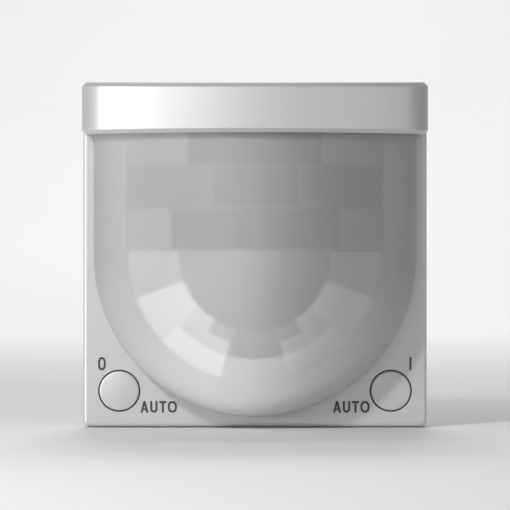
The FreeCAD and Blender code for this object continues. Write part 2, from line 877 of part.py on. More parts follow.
def crown_from(drawing, corners):
    """A closed half profile whose last but one stretch is the crown's arc up to the axis."""
    places = [point(*corner) for corner in corners]
    rim, tip = places[-2], places[-1]
    rise = rim.y - tip.y
    radius = (rim.x ** 2 + rise ** 2) / (2 * rise)
    middle = Vector(0, tip.y + radius, 0)
    start = math.atan2(rim.y - middle.y, rim.x)
    curves = [Part.LineSegment(one, other) for one, other in zip(places[:-2], places[1:-1])]
    curves.append(Part.ArcOfCircle(Part.Circle(middle, Vector(0, 0, 1), radius), -math.pi / 2, start))
    curves.append(Part.LineSegment(tip, places[0]))
    indices = [drawing.addGeometry(curve, False) for curve in curves]
    arc, axis = indices[-2], indices[-1]
    for one, other in zip(indices[:-3], indices[1:-2]):
        drawing.addConstraint(Sketcher.Constraint("Coincident", one, 2, other, 1))
    drawing.addConstraint(Sketcher.Constraint("Coincident", indices[-3], 2, arc, 2))
    drawing.addConstraint(Sketcher.Constraint("Coincident", arc, 1, axis, 1))
    drawing.addConstraint(Sketcher.Constraint("Coincident", axis, 2, indices[0], 1))
    drawing.addConstraint(Sketcher.Constraint("PointOnObject", arc, 3, -2))
    for index, corner in zip(indices[:-2] + [arc], corners):
        end = 2 if index == arc else 1
        pin_point(drawing, index, end, *corner)
    drawing.addConstraint(Sketcher.Constraint("PointOnObject", axis, 1, -2))
    hold(drawing, "DistanceY", axis, 1, corners[-1][1])
    return drawing


def switch_body(name, side):
    across = side * button_x
    top = flange_back + dim.switch_height
    case = block(name + "_switch_case", across, button_z, dim.switch_width, dim.switch_width,
                 flange_back, top)
    sunk = dim.plunger_sunk + dim.button_travel + dim.plunger_clearance
    bore = round_bar(name + "_switch_bore", across, button_z, dim.plunger_radius + dim.plunger_clearance,
                     top - sunk, top + dim.plunger_clearance)
    return less(name + "_switch_body", case, bore)


def switch_plunger(name, side):
    top = flange_back + dim.switch_height
    return round_bar(name + "_switch_plunger", side * button_x, button_z, dim.plunger_radius,
                     top - dim.plunger_sunk, plunger_top)


# Sensors, on the board behind the lens

def sensor_board():
    piece = new_body("sensor_board")
    half = inner_half - dim.board_margin
    outline = front_view(piece, board_back)
    rectangle(outline, -half, half, inner_low + dim.board_margin, boss_low - dim.board_margin)
    pad(piece, outline, dim.board_thickness)
    return piece


sensor_lean = dim.holder_rise / tangent(dim.sensor_tilt)
sensor_x = dim.holder_nose / 2 + sensor_lean / 2
sensor_depth = flange_back + dim.holder_rise / 2


def along_sensor(side, distance, sideways=0.0, up=0.0):
    """A point near a sensor: so far out along its axis, and so far beside and above it."""
    lean, reach = sine(dim.sensor_tilt), cosine(dim.sensor_tilt)
    across = side * (sensor_x + distance * lean + sideways * reach)
    depth = sensor_depth + distance * reach - sideways * lean
    return across, -depth, lens_middle + dim.sensor_height + up


def turn_to_sensor(side):
    tilt = math.radians(number(dim.sensor_tilt)) * side
    out = Vector(math.sin(tilt), -math.cos(tilt), 0)
    up = Vector(0, 0, 1)
    return Rotation(up.cross(out), up, out, "ZYX")


def place_on_sensor(piece, side, corner):
    piece.Placement = Placement(Vector(), turn_to_sensor(side))
    for axis, distance in zip("xyz", corner):
        bind(piece, "Placement.Base." + axis, distance)
    return piece


def sensor_bar(label, side, radius, start, end, sideways=0.0, up=0.0):
    """A cylinder along a sensor's axis."""
    piece = doc.addObject("Part::Cylinder", label)
    piece.Label = label
    bind(piece, "Radius", radius)
    bind(piece, "Height", end - start)
    return place_on_sensor(piece, side, along_sensor(side, start, sideways, up))


def sensor_block(label, side, width, height, start, end):
    """A box centred on a sensor's axis."""
    piece = doc.addObject("Part::Box", label)
    piece.Label = label
    bind(piece, "Length", width)
    bind(piece, "Width", height)
    bind(piece, "Height", end - start)
    # The box's own X points to the right on both sides, so its corner lies to the left of the axis
    corner = along_sensor(side, start, -side * width / 2, -height / 2)
    return place_on_sensor(piece, side, corner)


def sensor_holder():
    """A hollow wedge on the board, whose two slanted faces seat the infrared sensors."""
    piece = new_body("sensor_holder_body")
    low = lens_middle + dim.sensor_height - dim.holder_height / 2
    nose = dim.holder_nose / 2
    foot = nose + sensor_lean
    top = flange_back + dim.holder_rise
    wedge = plan_view(piece, low)
    polygon(wedge, [(-foot, -flange_back), (-nose, -top), (nose, -top), (foot, -flange_back)])
    pad(piece, wedge, dim.holder_height)
    wall = dim.holder_wall
    inner_foot = foot - wall / sine(dim.sensor_tilt)
    inner_nose = nose + wall / tangent(dim.sensor_tilt) - wall / sine(dim.sensor_tilt)
    hollow = plan_view(piece, low + wall)
    polygon(hollow, [(-inner_foot, -flange_back), (-inner_nose, wall - top), (inner_nose, wall - top),
                     (inner_foot, -flange_back)])
    cut(piece, hollow, dim.holder_height - 2 * wall)
    tools = []
    for name, side in SIDES.items():
        seat = dim.can_flange + dim.can_clearance
        lead_bore = dim.lead_circle + dim.lead_room
        tools.append(sensor_bar(name + "_sensor_seat", side, seat, -dim.can_seat, wall))
        tools.append(sensor_bar(name + "_lead_bore", side, lead_bore, -2 * wall, wall))
    return less("sensor_holder", piece, *tools)


def sensor_can(name, side):
    """A metal can on a wider base, with a window opening in its face."""
    base_front = dim.can_flange_thickness - dim.can_seat
    top = base_front + dim.can_height
    base = sensor_bar(name + "_can_base", side, dim.can_flange, -dim.can_seat, base_front)
    cap = sensor_bar(name + "_can_cap", side, dim.can_radius, base_front, top)
    whole = joined_pieces(name + "_can_whole", base, cap)
    opening = sensor_block(name + "_can_opening", side, dim.window_width, dim.window_height,
                           top - dim.window_thickness, top + dim.window_thickness)
    return less(name + "_sensor_can", whole, opening)


def sensor_window(name, side):
    top = dim.can_flange_thickness - dim.can_seat + dim.can_height
    return sensor_block(name + "_sensor_window", side, dim.window_width, dim.window_height,
                        top - dim.window_thickness, top)


LEAD_TURNS = (45.0, 135.0, 270.0)


def sensor_leads(name, side):
    """Three leads from the can's base, straight back along its axis to the board."""
    leads = []
    for number_of_lead, turn in enumerate(LEAD_TURNS, start=1):
        sideways = dim.lead_circle * math.cos(math.radians(turn))
        up = dim.lead_circle * math.sin(math.radians(turn))
        depth = -along_sensor(side, -dim.can_seat, sideways)[1]
        length = (depth - flange_back) / cosine(dim.sensor_tilt) - 2 * dim.lead_radius
        label = "%s_lead_%d" % (name, number_of_lead)
        leads.append(sensor_bar(label, side, dim.lead_radius, -dim.can_seat - length, -dim.can_seat,
                                sideways, up))
    return group(name + "_sensor_leads", *leads)


def domed_part(label, across):
    """A round clear part with a domed top, on the sensor board."""
    up = lens_middle - dim.eye_drop
    top = flange_back + dim.eye_height
    stem = round_bar(label + "_stem", across, up, dim.eye_radius, flange_back, top)
    cap = doc.addObject("Part::Sphere", label + "_cap")
    bind(cap, "Radius", dim.eye_radius)
    bind(cap, "Placement.Base.x", across)
    bind(cap, "Placement.Base.y", -top)
    bind(cap, "Placement.Base.z", up)
    return joined_pieces(label, stem, cap)


# Main board in the rear box

def main_board():
    return block("main_board", 0, 0, main_board_width, main_board_width, main_back, main_front)


def control_chip():
    up = dim.capacitor_spacing
    return block("control_chip", -dim.capacitor_spacing, up, dim.chip_width, dim.chip_width,
                 main_front, main_front + dim.chip_thickness)


def capacitors():
    pair = [round_bar("capacitor_%d" % step, step * dim.capacitor_spacing - dim.capacitor_radius,
                      dim.capacitor_spacing, dim.capacitor_radius, main_front,
                      main_front + dim.capacitor_height) for step in (1, 2)]
    return group("capacitors", *pair)


def pin_places(columns, rows, up):
    return [((column - (columns - 1) / 2) * dim.pin_pitch, up + (row - (rows - 1) / 2) * dim.pin_pitch)
            for column in range(columns) for row in range(rows)]


def pins(label, places, back, front):
    bars = [block("%s_%d" % (label, index), across, up, dim.pin_width, dim.pin_width, back, front)
            for index, (across, up) in enumerate(places, start=1)]
    return group(label, *bars)


def pin_strip(label, across, up, width, height, back, front, places):
    """A moulded block with a square hole for each pin."""
    case = block(label + "_case", across, up, width, height, back, front)
    room = dim.pin_width + 2 * dim.pin_clearance
    holes = [block("%s_hole_%d" % (label, index), x, z, room, room, back - room, front + room)
             for index, (x, z) in enumerate(places, start=1)]
    return less(label, case, *holes)


PLUG_COLUMNS, PLUG_ROWS = 5, 2
LINK_COLUMNS, LINK_ROWS = 4, 1
PLUG_PINS = pin_places(PLUG_COLUMNS, PLUG_ROWS, plug_z)
LINK_PINS = pin_places(LINK_COLUMNS, LINK_ROWS, link_z)
plug_back = box_back - dim.plug_proud


def plug_body():
    return pin_strip("plug_body", 0, plug_z, dim.plug_width, dim.plug_height, plug_back, main_back,
                     PLUG_PINS)


def plug_pins():
    return pins("plug_pins", PLUG_PINS, plug_back - dim.plug_pin_reach, main_back)


def board_link():
    return pin_strip("board_link", 0, link_z, dim.link_width, dim.link_height, main_front,
                     main_front + dim.link_thickness, LINK_PINS)


def link_pins():
    return pins("link_pins", LINK_PINS, main_front, board_back)


# Adjusters

rotor_front = main_back - dim.adjuster_body + dim.rotor_sunk
rotor_back = box_back + dim.rotor_recess


def adjuster_places():
    return [(step * dim.adjuster_spacing, dim.adjuster_height) for step in ADJUSTERS.values()]


def adjuster_body(name, step):
    across = step * dim.adjuster_spacing
    back = main_back - dim.adjuster_body
    case = block(name + "_adjuster_case", across, dim.adjuster_height, dim.adjuster_width,
                 dim.adjuster_width, back, main_back)
    bore = round_bar(name + "_adjuster_bore", across, dim.adjuster_height,
                     dim.rotor_radius + dim.rotor_clearance, back - dim.rotor_sunk,
                     rotor_front + dim.rotor_clearance)
    return less(name + "_adjuster_body", case, bore)


def adjuster_rotor(name, step):
    across = step * dim.adjuster_spacing
    disc = round_bar(name + "_rotor_disc", across, dim.adjuster_height, dim.rotor_radius, rotor_back,
                     rotor_front)
    slot = block(name + "_rotor_slot", across, dim.adjuster_height, dim.slot_length, dim.slot_width,
                 rotor_back - dim.slot_depth, rotor_back + dim.slot_depth)
    return less(name + "_adjuster_rotor", disc, slot)


# Rear housing, its screws and its springs

keeper_half = dim.spring_width / 2 + dim.keeper_clearance
keeper_room = dim.spring_thickness + dim.keeper_clearance


def rear_housing():
    """A tray that closes the cover, with a box behind it for the main board."""
    piece = new_body("rear_housing")
    half = inner_half - dim.tray_margin
    tray = front_view(piece, tray_back)
    rectangle(tray, -half, half, inner_low + dim.tray_margin, -inner_low - dim.tray_margin)
    pad(piece, tray, dim.tray_thickness)
    box = centred_rectangle(front_view(piece, box_back), 0, 0, dim.box_width, dim.box_width)
    pad(piece, box, tray_back - box_back)
    rounded(piece, dim.box_corner,
            lambda edge: runs_forwards(edge) and abs(edge.BoundBox.XMin) < number(box_half) + TOUCHING)
    inside = centred_rectangle(front_view(piece, box_floor), 0, 0, 2 * box_inner, 2 * box_inner)
    cut(piece, inside, tray_front - box_floor)
    posts = front_view(piece, box_floor)
    across = box_inner - dim.post_width / 2
    for side in (-1, 1):
        for up in (-1, 1):
            centred_rectangle(posts, side * across, up * across, dim.post_width, dim.post_width)
    pad(piece, posts, main_back - box_floor)
    supports = button_places() + [(side * button_x, -button_z - dim.support_drop)
                                  for side in SIDES.values()]
    pad(piece, circles(front_view(piece, tray_front), supports, dim.support_radius), board_back - tray_front)
    screw_holes = circles(front_view(piece, tray_back), screw_places(),
                          dim.screw_radius + dim.screw_clearance)
    cut(piece, screw_holes, dim.tray_thickness)
    recesses = circles(front_view(piece, tray_back), screw_places(),
                       dim.screw_head + dim.screw_head_clearance)
    cut(piece, recesses, dim.screw_head_height)
    windows = circles(front_view(piece, box_back), adjuster_places(), dim.adjuster_window)
    cut(piece, windows, dim.box_wall)
    plug_room = centred_rectangle(front_view(piece, box_back), 0, plug_z,
                                  dim.plug_width + 2 * dim.plug_clearance,
                                  dim.plug_height + 2 * dim.plug_clearance)
    cut(piece, plug_room, dim.box_wall)
    for side in SIDES.values():
        keeper = front_view(piece, box_back + dim.keeper_thickness)
        outer = side * (box_half + keeper_room + dim.keeper_thickness)
        high = keeper_half + dim.keeper_thickness
        rectangle(keeper, side * (box_half - dim.keeper_root), outer, -high, high)
        pad(piece, keeper, dim.spring_foot)
        passage = front_view(piece, box_back + dim.keeper_thickness)
        rectangle(passage, side * box_half, side * (box_half + keeper_room), -keeper_half, keeper_half)
        cut(piece, passage, dim.spring_foot)
    return piece


def housing_screws():
    """Two screws through the tray into the cover's bosses."""
    screws = []
    for index, (across, up) in enumerate(screw_places(), start=1):
        under_head = tray_back + dim.screw_head_height
        head = round_bar("screw_head_%d" % index, across, up, dim.screw_head, tray_back, under_head)
        shank = round_bar("screw_shank_%d" % index, across, up, dim.screw_radius, under_head,
                          under_head + dim.screw_length)
        screws.append(joined_pieces("screw_%d" % index, head, shank))
    return group("housing_screws", *screws)


def strip_face(path, thickness):
    """The section of a bent strip that starts at the origin along X with its underside on the
    axis. The path lists straights as a length, and bends as a radius and a turn in radians."""
    place, heading = Vector(0, thickness / 2, 0), 0.0
    under, over = [], []
    for step in path:
        forward = Vector(math.cos(heading), math.sin(heading), 0)
        left = Vector(-forward.y, forward.x, 0)
        start_under, start_over = place - left * thickness / 2, place + left * thickness / 2
        if isinstance(step, tuple):
            radius, turn = step
            centre = place + left * math.copysign(radius, turn)
            spin = Rotation(Vector(0, 0, 1), math.degrees(turn))
            half_spin = Rotation(Vector(0, 0, 1), math.degrees(turn / 2))
            for side, begin in ((under, start_under), (over, start_over)):
                middle = centre + half_spin.multVec(begin - centre)
                end = centre + spin.multVec(begin - centre)
                side.append(Part.Arc(begin, middle, end).toShape())
            place = centre + spin.multVec(place - centre)
            heading += turn
        else:
            end = place + forward * step
            under.append(Part.LineSegment(start_under, end - left * thickness / 2).toShape())
            over.append(Part.LineSegment(start_over, end + left * thickness / 2).toShape())
            place = end
    first = Part.LineSegment(Vector(), Vector(0, thickness, 0)).toShape()
    last = Part.LineSegment(under[-1].Vertexes[-1].Point, over[-1].Vertexes[-1].Point).toShape()
    edges = Part.sortEdges([first, last] + under + over)[0]
    return Part.Face(Part.Wire(edges))


def retaining_spring(name, side):
    """A leaf of spring steel: a foot in the keeper, a bow that grips the mounting ring, a toe."""
    thickness = number(dim.spring_thickness)
    foot = number(dim.spring_foot + dim.keeper_thickness)
    toe = number(dim.spring_toe)
    span = number(tray_back - box_back) - foot - 2 * toe
    bulge = number(dim.spring_bulge)
    turn = 2 * math.atan(2 * bulge / span)
    bend = number(dim.spring_bend)
    bow = bulge / (1 - math.cos(turn)) - bend
    face_of_strip = strip_face([foot, (bend, turn), (bow, -2 * turn), (bend, turn), toe], thickness)
    leaf = face_of_strip.extrude(Vector(0, 0, number(dim.spring_width)))
    piece = doc.addObject("Part::Feature", name + "_retaining_spring")
    piece.Label = name + "_retaining_spring"
    piece.Shape = leaf if side > 0 else leaf.mirror(Vector(), Vector(0, 1, 0))
    corner = Vector(side * number(box_half), -number(box_back), -number(dim.spring_width) / 2)
    piece.Placement = Placement(corner, Rotation(Vector(0, 0, 1), -90))
    return piece


def build():
    """Every sub-part of the detector, in the order in which it is put together."""
    pieces = [cover_plate(), hood(), lens_dome(), sensor_board(), sensor_holder()]
    for name, side in SIDES.items():
        pieces += [button(name, side), switch_body(name, side), switch_plunger(name, side)]
        pieces += [sensor_can(name, side), sensor_window(name, side), sensor_leads(name, side)]
        pieces.append(retaining_spring(name, side))
    for name, step in ADJUSTERS.items():
        pieces += [adjuster_body(name, step), adjuster_rotor(name, step)]
    pieces += [domed_part("light_sensor", -dim.eye_spacing / 2),
               domed_part("status_light", dim.eye_spacing / 2)]
    pieces += [main_board(), control_chip(), capacitors(), board_link(), link_pins()]
    pieces += [plug_body(), plug_pins(), rear_housing(), housing_screws()]
    return pieces


pieces = build()
doc.recompute()
for thing in doc.Objects:
    if "Invalid" in thing.State or "Error" in thing.State:
        raise ValueError("%s failed: %s" % (thing.Label, thing.State))
for piece in pieces:
    if piece.Shape.isNull() or not piece.Shape.isValid():
        raise ValueError("%s has no valid shape" % piece.Label)
os.makedirs("parts", exist_ok=True)
for piece in pieces:
    piece.Shape.exportStep("parts/%s.step" % piece.Label)
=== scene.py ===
import json
import math

import bmesh
import bpy
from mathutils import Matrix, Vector


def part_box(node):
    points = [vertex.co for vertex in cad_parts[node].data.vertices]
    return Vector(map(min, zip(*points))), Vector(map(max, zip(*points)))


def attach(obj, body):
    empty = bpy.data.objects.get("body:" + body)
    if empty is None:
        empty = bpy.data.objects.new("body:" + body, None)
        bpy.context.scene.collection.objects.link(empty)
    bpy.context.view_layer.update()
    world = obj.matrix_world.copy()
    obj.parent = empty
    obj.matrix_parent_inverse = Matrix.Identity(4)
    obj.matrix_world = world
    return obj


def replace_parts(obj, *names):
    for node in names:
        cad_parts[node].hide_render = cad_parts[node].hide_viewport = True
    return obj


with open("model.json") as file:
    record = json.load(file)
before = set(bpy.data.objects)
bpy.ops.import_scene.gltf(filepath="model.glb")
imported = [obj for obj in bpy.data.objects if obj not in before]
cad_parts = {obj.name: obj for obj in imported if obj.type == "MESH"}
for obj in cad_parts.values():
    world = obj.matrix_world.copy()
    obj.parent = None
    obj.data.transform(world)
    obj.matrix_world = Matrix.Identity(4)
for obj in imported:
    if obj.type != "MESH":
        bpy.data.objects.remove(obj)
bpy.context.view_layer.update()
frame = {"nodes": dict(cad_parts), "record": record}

# A motion detector for a wall: the studio, the materials of its solids, and the pieces that are drawn here,
# which are the lens, the buttons and the screws in place of solids, and the printed marks.
#
# The frame: metres, X to the right, Z up, and the room towards -Y. A depth is a distance forwards
# from the cover's rear rim, so a depth d lies at y = -d.

MM = 0.001
HALF_PI = math.pi / 2

COVER_LOW, COVER_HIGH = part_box("cover_plate")
HOOD_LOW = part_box("hood")[0]
LENS_LOW, LENS_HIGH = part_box("lens_dome")
BUTTON_MIDDLE = sum(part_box("right_button"), Vector()) / 2

FACE = -COVER_LOW.y


# Camera

CAMERA_DISTANCE = 700.0 * MM
VIEW_WIDTH = 103.95 * MM
NEAREST, FARTHEST = 0.01, 20.0


def camera():
    """The photograph's view: level with the middle of the cover, square on to it."""
    data = bpy.data.cameras.new("camera")
    data.angle = 2 * math.atan(VIEW_WIDTH / 2 / CAMERA_DISTANCE)
    data.clip_start = NEAREST
    data.clip_end = FARTHEST
    holder = bpy.data.objects.new("camera", data)
    holder.location = (0.0, -FACE - CAMERA_DISTANCE, 0.0)
    holder.rotation_euler = (HALF_PI, 0.0, 0.0)
    bpy.context.scene.collection.objects.link(holder)
    bpy.context.scene.camera = holder


# Materials

# Noise keeps mostly to the middle of its range from 0 to 1.
NOISE_LOW, NOISE_HIGH = 0.3, 0.7


class Nodes:
    """A material's node tree, with a short way to add and join nodes."""

    def __init__(self, name):
        self.material = bpy.data.materials.new(name)
        self.material.use_nodes = True
        self.tree = self.material.node_tree
        self.shader = self.tree.nodes["Principled BSDF"]
        coordinates = self.tree.nodes.new("ShaderNodeTexCoord")
        self.place = coordinates.outputs["Object"]

    def add(self, kind, **settings):
        """A new node. Each setting is an input's value or, if no input has its name, a property."""
        node = self.tree.nodes.new("ShaderNode" + kind)
        for name, value in settings.items():
            if name in node.inputs:
                node.inputs[name].default_value = value
            else:
                setattr(node, name, value)
        return node

    def join(self, output, target):
        self.tree.links.new(output, target)

    def stretched(self, scale):
        """The object's own coordinates, scaled along each axis."""
        mapping = self.add("Mapping")
        mapping.inputs["Scale"].default_value = scale
        self.join(self.place, mapping.inputs["Vector"])
        return mapping.outputs["Vector"]

    def noise(self, size, detail=2.0, stretch=None):
        """Noise whose features are about one size across, in metres."""
        texture = self.add("TexNoise", Scale=1.0 / size, Detail=detail)
        self.join(self.stretched(stretch) if stretch else self.place, texture.inputs["Vector"])
        return texture.outputs["Fac"]

    def ranged(self, value, low, high):
        """Spreads noise over a range."""
        change = self.add("MapRange")
        change.inputs["From Min"].default_value = NOISE_LOW
        change.inputs["From Max"].default_value = NOISE_HIGH
        change.inputs["To Min"].default_value = low
        change.inputs["To Max"].default_value = high
        self.join(value, change.inputs["Value"])
        return change.outputs["Result"]

    def mixed(self, share, one, other):
        """A colour between two, each a colour or an output."""
        mix = self.add("Mix", data_type="RGBA")
        self.join(share, mix.inputs["Factor"])
        for name, colour in (("A", one), ("B", other)):
            socket = next(s for s in mix.inputs if s.name == name and s.type == "RGBA")
            if isinstance(colour, bpy.types.NodeSocket):
                self.join(colour, socket)
            else:
                socket.default_value = (*colour, 1.0)
        return next(s for s in mix.outputs if s.type == "RGBA")

    def math(self, operation, *values):
        """The result of an operation on numbers or outputs."""
        node = self.add("Math", operation=operation)
        for index, value in enumerate(values):
            if isinstance(value, bpy.types.NodeSocket):
                self.join(value, node.inputs[index])
            else:
                node.inputs[index].default_value = value
        return node.outputs[0]

    def attribute(self, name, output="Fac"):
        """What the mesh carries under a name, point by point."""
        return self.add("Attribute", attribute_name=name).outputs[output]

    def bump(self, height, depth, normal=None):
        """Roughens the surface by a height from 0 to 1, so deep in metres."""
        node = self.add("Bump", Distance=depth)
        node.inputs["Strength"].default_value = 1.0
        self.join(height, node.inputs["Height"])
        if normal is not None:
            self.join(normal, node.inputs["Normal"])
        self.join(node.outputs["Normal"], self.shader.inputs["Normal"])


def shade(colour, factor):
    """A colour made darker or brighter."""
    return tuple(channel * factor for channel in colour)


def moulded(name, colour, roughness, spread=0.04, grain=0.4 * MM, relief=0.004 * MM):
    """Moulded plastic: a faint clouding of the colour, and the grain of the mould."""
    nodes = Nodes(name)
    cloud = nodes.ranged(nodes.noise(20.0 * MM, 3.0), 0.0, 1.0)
    tint = nodes.mixed(cloud, shade(colour, 1 - spread), shade(colour, 1 + spread))
    nodes.join(tint, nodes.shader.inputs["Base Color"])
    fine = nodes.noise(grain, 2.0)
    nodes.join(nodes.ranged(fine, roughness * 0.92, roughness * 1.08), nodes.shader.inputs["Roughness"])
    nodes.bump(fine, relief)
    return nodes.material


def brushed(name, colour, roughness, stretch):
    """Metal with fine parallel marks from rolling or drawing, long where the stretch is small."""
    nodes = Nodes(name)
    marks = nodes.noise(0.2 * MM, 3.0, stretch)
    nodes.join(nodes.mixed(nodes.ranged(marks, 0.0, 1.0), shade(colour, 0.86), colour),
               nodes.shader.inputs["Base Color"])
    nodes.join(nodes.ranged(marks, roughness * 0.8, roughness * 1.2), nodes.shader.inputs["Roughness"])
    nodes.shader.inputs["Metallic"].default_value = 1.0
    nodes.bump(marks, 0.003 * MM)
    return nodes.material


SILVER = (0.56, 0.565, 0.575)
SILVER_FLECK = (0.8, 0.8, 0.81)
BLACK_PLASTIC = (0.03, 0.03, 0.032)
LENS_COLOUR = (0.5, 0.505, 0.5)
SKIN_OPACITY = 0.24


def lacquer(name, colour):
    """Silver-grey lacquer on plastic: a fine even fleck under a satin clear coat."""
    nodes = Nodes(name)
    fleck = nodes.noise(0.12 * MM, 1.0)
    cloud = nodes.ranged(nodes.noise(30.0 * MM, 2.0), 0.0, 1.0)
    base = nodes.mixed(cloud, shade(colour, 0.985), shade(colour, 1.015))
    tint = nodes.mixed(nodes.ranged(fleck, 0.0, 0.1), base, SILVER_FLECK)
    nodes.join(tint, nodes.shader.inputs["Base Color"])
    nodes.join(nodes.ranged(fleck, 0.41, 0.49), nodes.shader.inputs["Roughness"])
    nodes.shader.inputs["Metallic"].default_value = 0.45
    nodes.shader.inputs["Coat Weight"].default_value = 0.25
    nodes.shader.inputs["Coat Roughness"].default_value = 0.32
    nodes.bump(nodes.noise(0.6 * MM, 2.0), 0.0015 * MM)
    return nodes.material


def circuit_board(name):
    """Green solder mask over copper tracks that show as paler lines."""
    nodes = Nodes(name)
    tracks = nodes.add("TexBrick", Scale=160.0, offset=0.35)
    tracks.inputs["Mortar Size"].default_value = 0.05
    for socket, level in (("Color1", 0.0), ("Color2", 0.0), ("Mortar", 1.0)):
        tracks.inputs[socket].default_value = (level, level, level, 1.0)
    turned = nodes.add("Mapping")
    turned.inputs["Rotation"].default_value = (HALF_PI, 0.0, 0.0)
    nodes.join(nodes.place, turned.inputs["Vector"])
    nodes.join(turned.outputs["Vector"], tracks.inputs["Vector"])
    tint = nodes.mixed(tracks.outputs["Color"], (0.012, 0.105, 0.05), (0.03, 0.2, 0.1))
    nodes.join(tint, nodes.shader.inputs["Base Color"])
    nodes.join(nodes.ranged(nodes.noise(1.0 * MM), 0.28, 0.4), nodes.shader.inputs["Roughness"])
    nodes.bump(tracks.outputs["Color"], 0.03 * MM)
    return nodes.material


def clear_epoxy(name, colour):
    """Cast epoxy, nearly clear, with faint flow lines inside."""
    nodes = Nodes(name)
    flow = nodes.ranged(nodes.noise(2.0 * MM, 3.0), 0.0, 1.0)
    nodes.join(nodes.mixed(flow, shade(colour, 0.94), colour), nodes.shader.inputs["Base Color"])
    nodes.shader.inputs["Roughness"].default_value = 0.08
    nodes.shader.inputs["Transmission Weight"].default_value = 0.7
    nodes.bump(nodes.noise(0.8 * MM), 0.002 * MM)
    return nodes.material


# The rings run round a centre on each side of the middle, and fade with the distance from it.
RING_CENTRE_ACROSS, RING_CENTRE_UP = 8.3 * MM, 7.8 * MM
RING_PITCH = 0.55 * MM
RING_REACH = 9.0 * MM
RING_CONTRAST = 0.035
RING_RELIEF = 0.02 * MM


def lens_core(name, colour):
    """The inside of the lens as it shows through its skin. The mesh carries, point by point, the tone of
    the segment, which holds painted light below the middle, the lean of its prisms, and where their rings
    show."""
    nodes = Nodes(name)
    place = nodes.add("SeparateXYZ")
    nodes.join(nodes.place, place.inputs[0])
    across = nodes.math("SUBTRACT", nodes.math("ABSOLUTE", place.outputs["X"]), RING_CENTRE_ACROSS)
    up = nodes.math("SUBTRACT", place.outputs["Z"], RING_CENTRE_UP)
    squares = [nodes.math("MULTIPLY", side, side) for side in (across, up)]
    away = nodes.math("SQRT", nodes.math("ADD", *squares))
    wave = nodes.math("SINE", nodes.math("MULTIPLY", away, 2 * math.pi / RING_PITCH))
    fade = nodes.math("MAXIMUM", nodes.math("SUBTRACT", 1.0, nodes.math("DIVIDE", away, RING_REACH)), 0.0)
    rings = nodes.math("MULTIPLY", wave, nodes.math("MULTIPLY", fade, nodes.attribute("ringed")))
    tone = nodes.math("ADD", nodes.attribute("tone"), nodes.math("MULTIPLY", rings, RING_CONTRAST))
    cloud = nodes.math("MULTIPLY", tone, nodes.ranged(nodes.noise(12.0 * MM, 2.0), 0.98, 1.02))
    tint = nodes.add("VectorMath", operation="SCALE")
    tint.inputs[0].default_value = colour
    nodes.join(cloud, tint.inputs["Scale"])
    nodes.join(tint.outputs["Vector"], nodes.shader.inputs["Base Color"])
    leaning = nodes.add("VectorMath", operation="ADD")
    nodes.join(nodes.add("NewGeometry").outputs["Normal"], leaning.inputs[0])
    nodes.join(nodes.attribute("lean", "Vector"), leaning.inputs[1])
    unit = nodes.add("VectorMath", operation="NORMALIZE")
    nodes.join(leaning.outputs["Vector"], unit.inputs[0])
    nodes.bump(rings, RING_RELIEF, unit.outputs["Vector"])
    nodes.shader.inputs["Roughness"].default_value = 0.55
    nodes.shader.inputs["Specular IOR Level"].default_value = 0.25
    return nodes.material


def lens_skin(name, colour):
    """The smooth outside of the lens, a milky film that lets its inside show."""
    nodes = Nodes(name)
    cloud = nodes.ranged(nodes.noise(10.0 * MM, 2.0), 0.0, 1.0)
    nodes.join(nodes.mixed(cloud, shade(colour, 0.98), colour), nodes.shader.inputs["Base Color"])
    nodes.join(nodes.ranged(nodes.noise(0.6 * MM), 0.36, 0.42), nodes.shader.inputs["Roughness"])
    nodes.shader.inputs["Alpha"].default_value = SKIN_OPACITY
    nodes.bump(nodes.noise(4.0 * MM, 1.0), 0.004 * MM)
    return nodes.material


def printed_ink(name):
    """Dark grey pad-printed ink, a little uneven where it lies on the lacquer."""
    nodes = Nodes(name)
    spots = nodes.ranged(nodes.noise(0.25 * MM, 3.0), 0.0, 1.0)
    tint = nodes.mixed(spots, (0.04, 0.044, 0.044), (0.052, 0.057, 0.057))
    nodes.join(tint, nodes.shader.inputs["Base Color"])
    nodes.join(nodes.ranged(nodes.noise(0.3 * MM), 0.5, 0.62), nodes.shader.inputs["Roughness"])
    return nodes.material


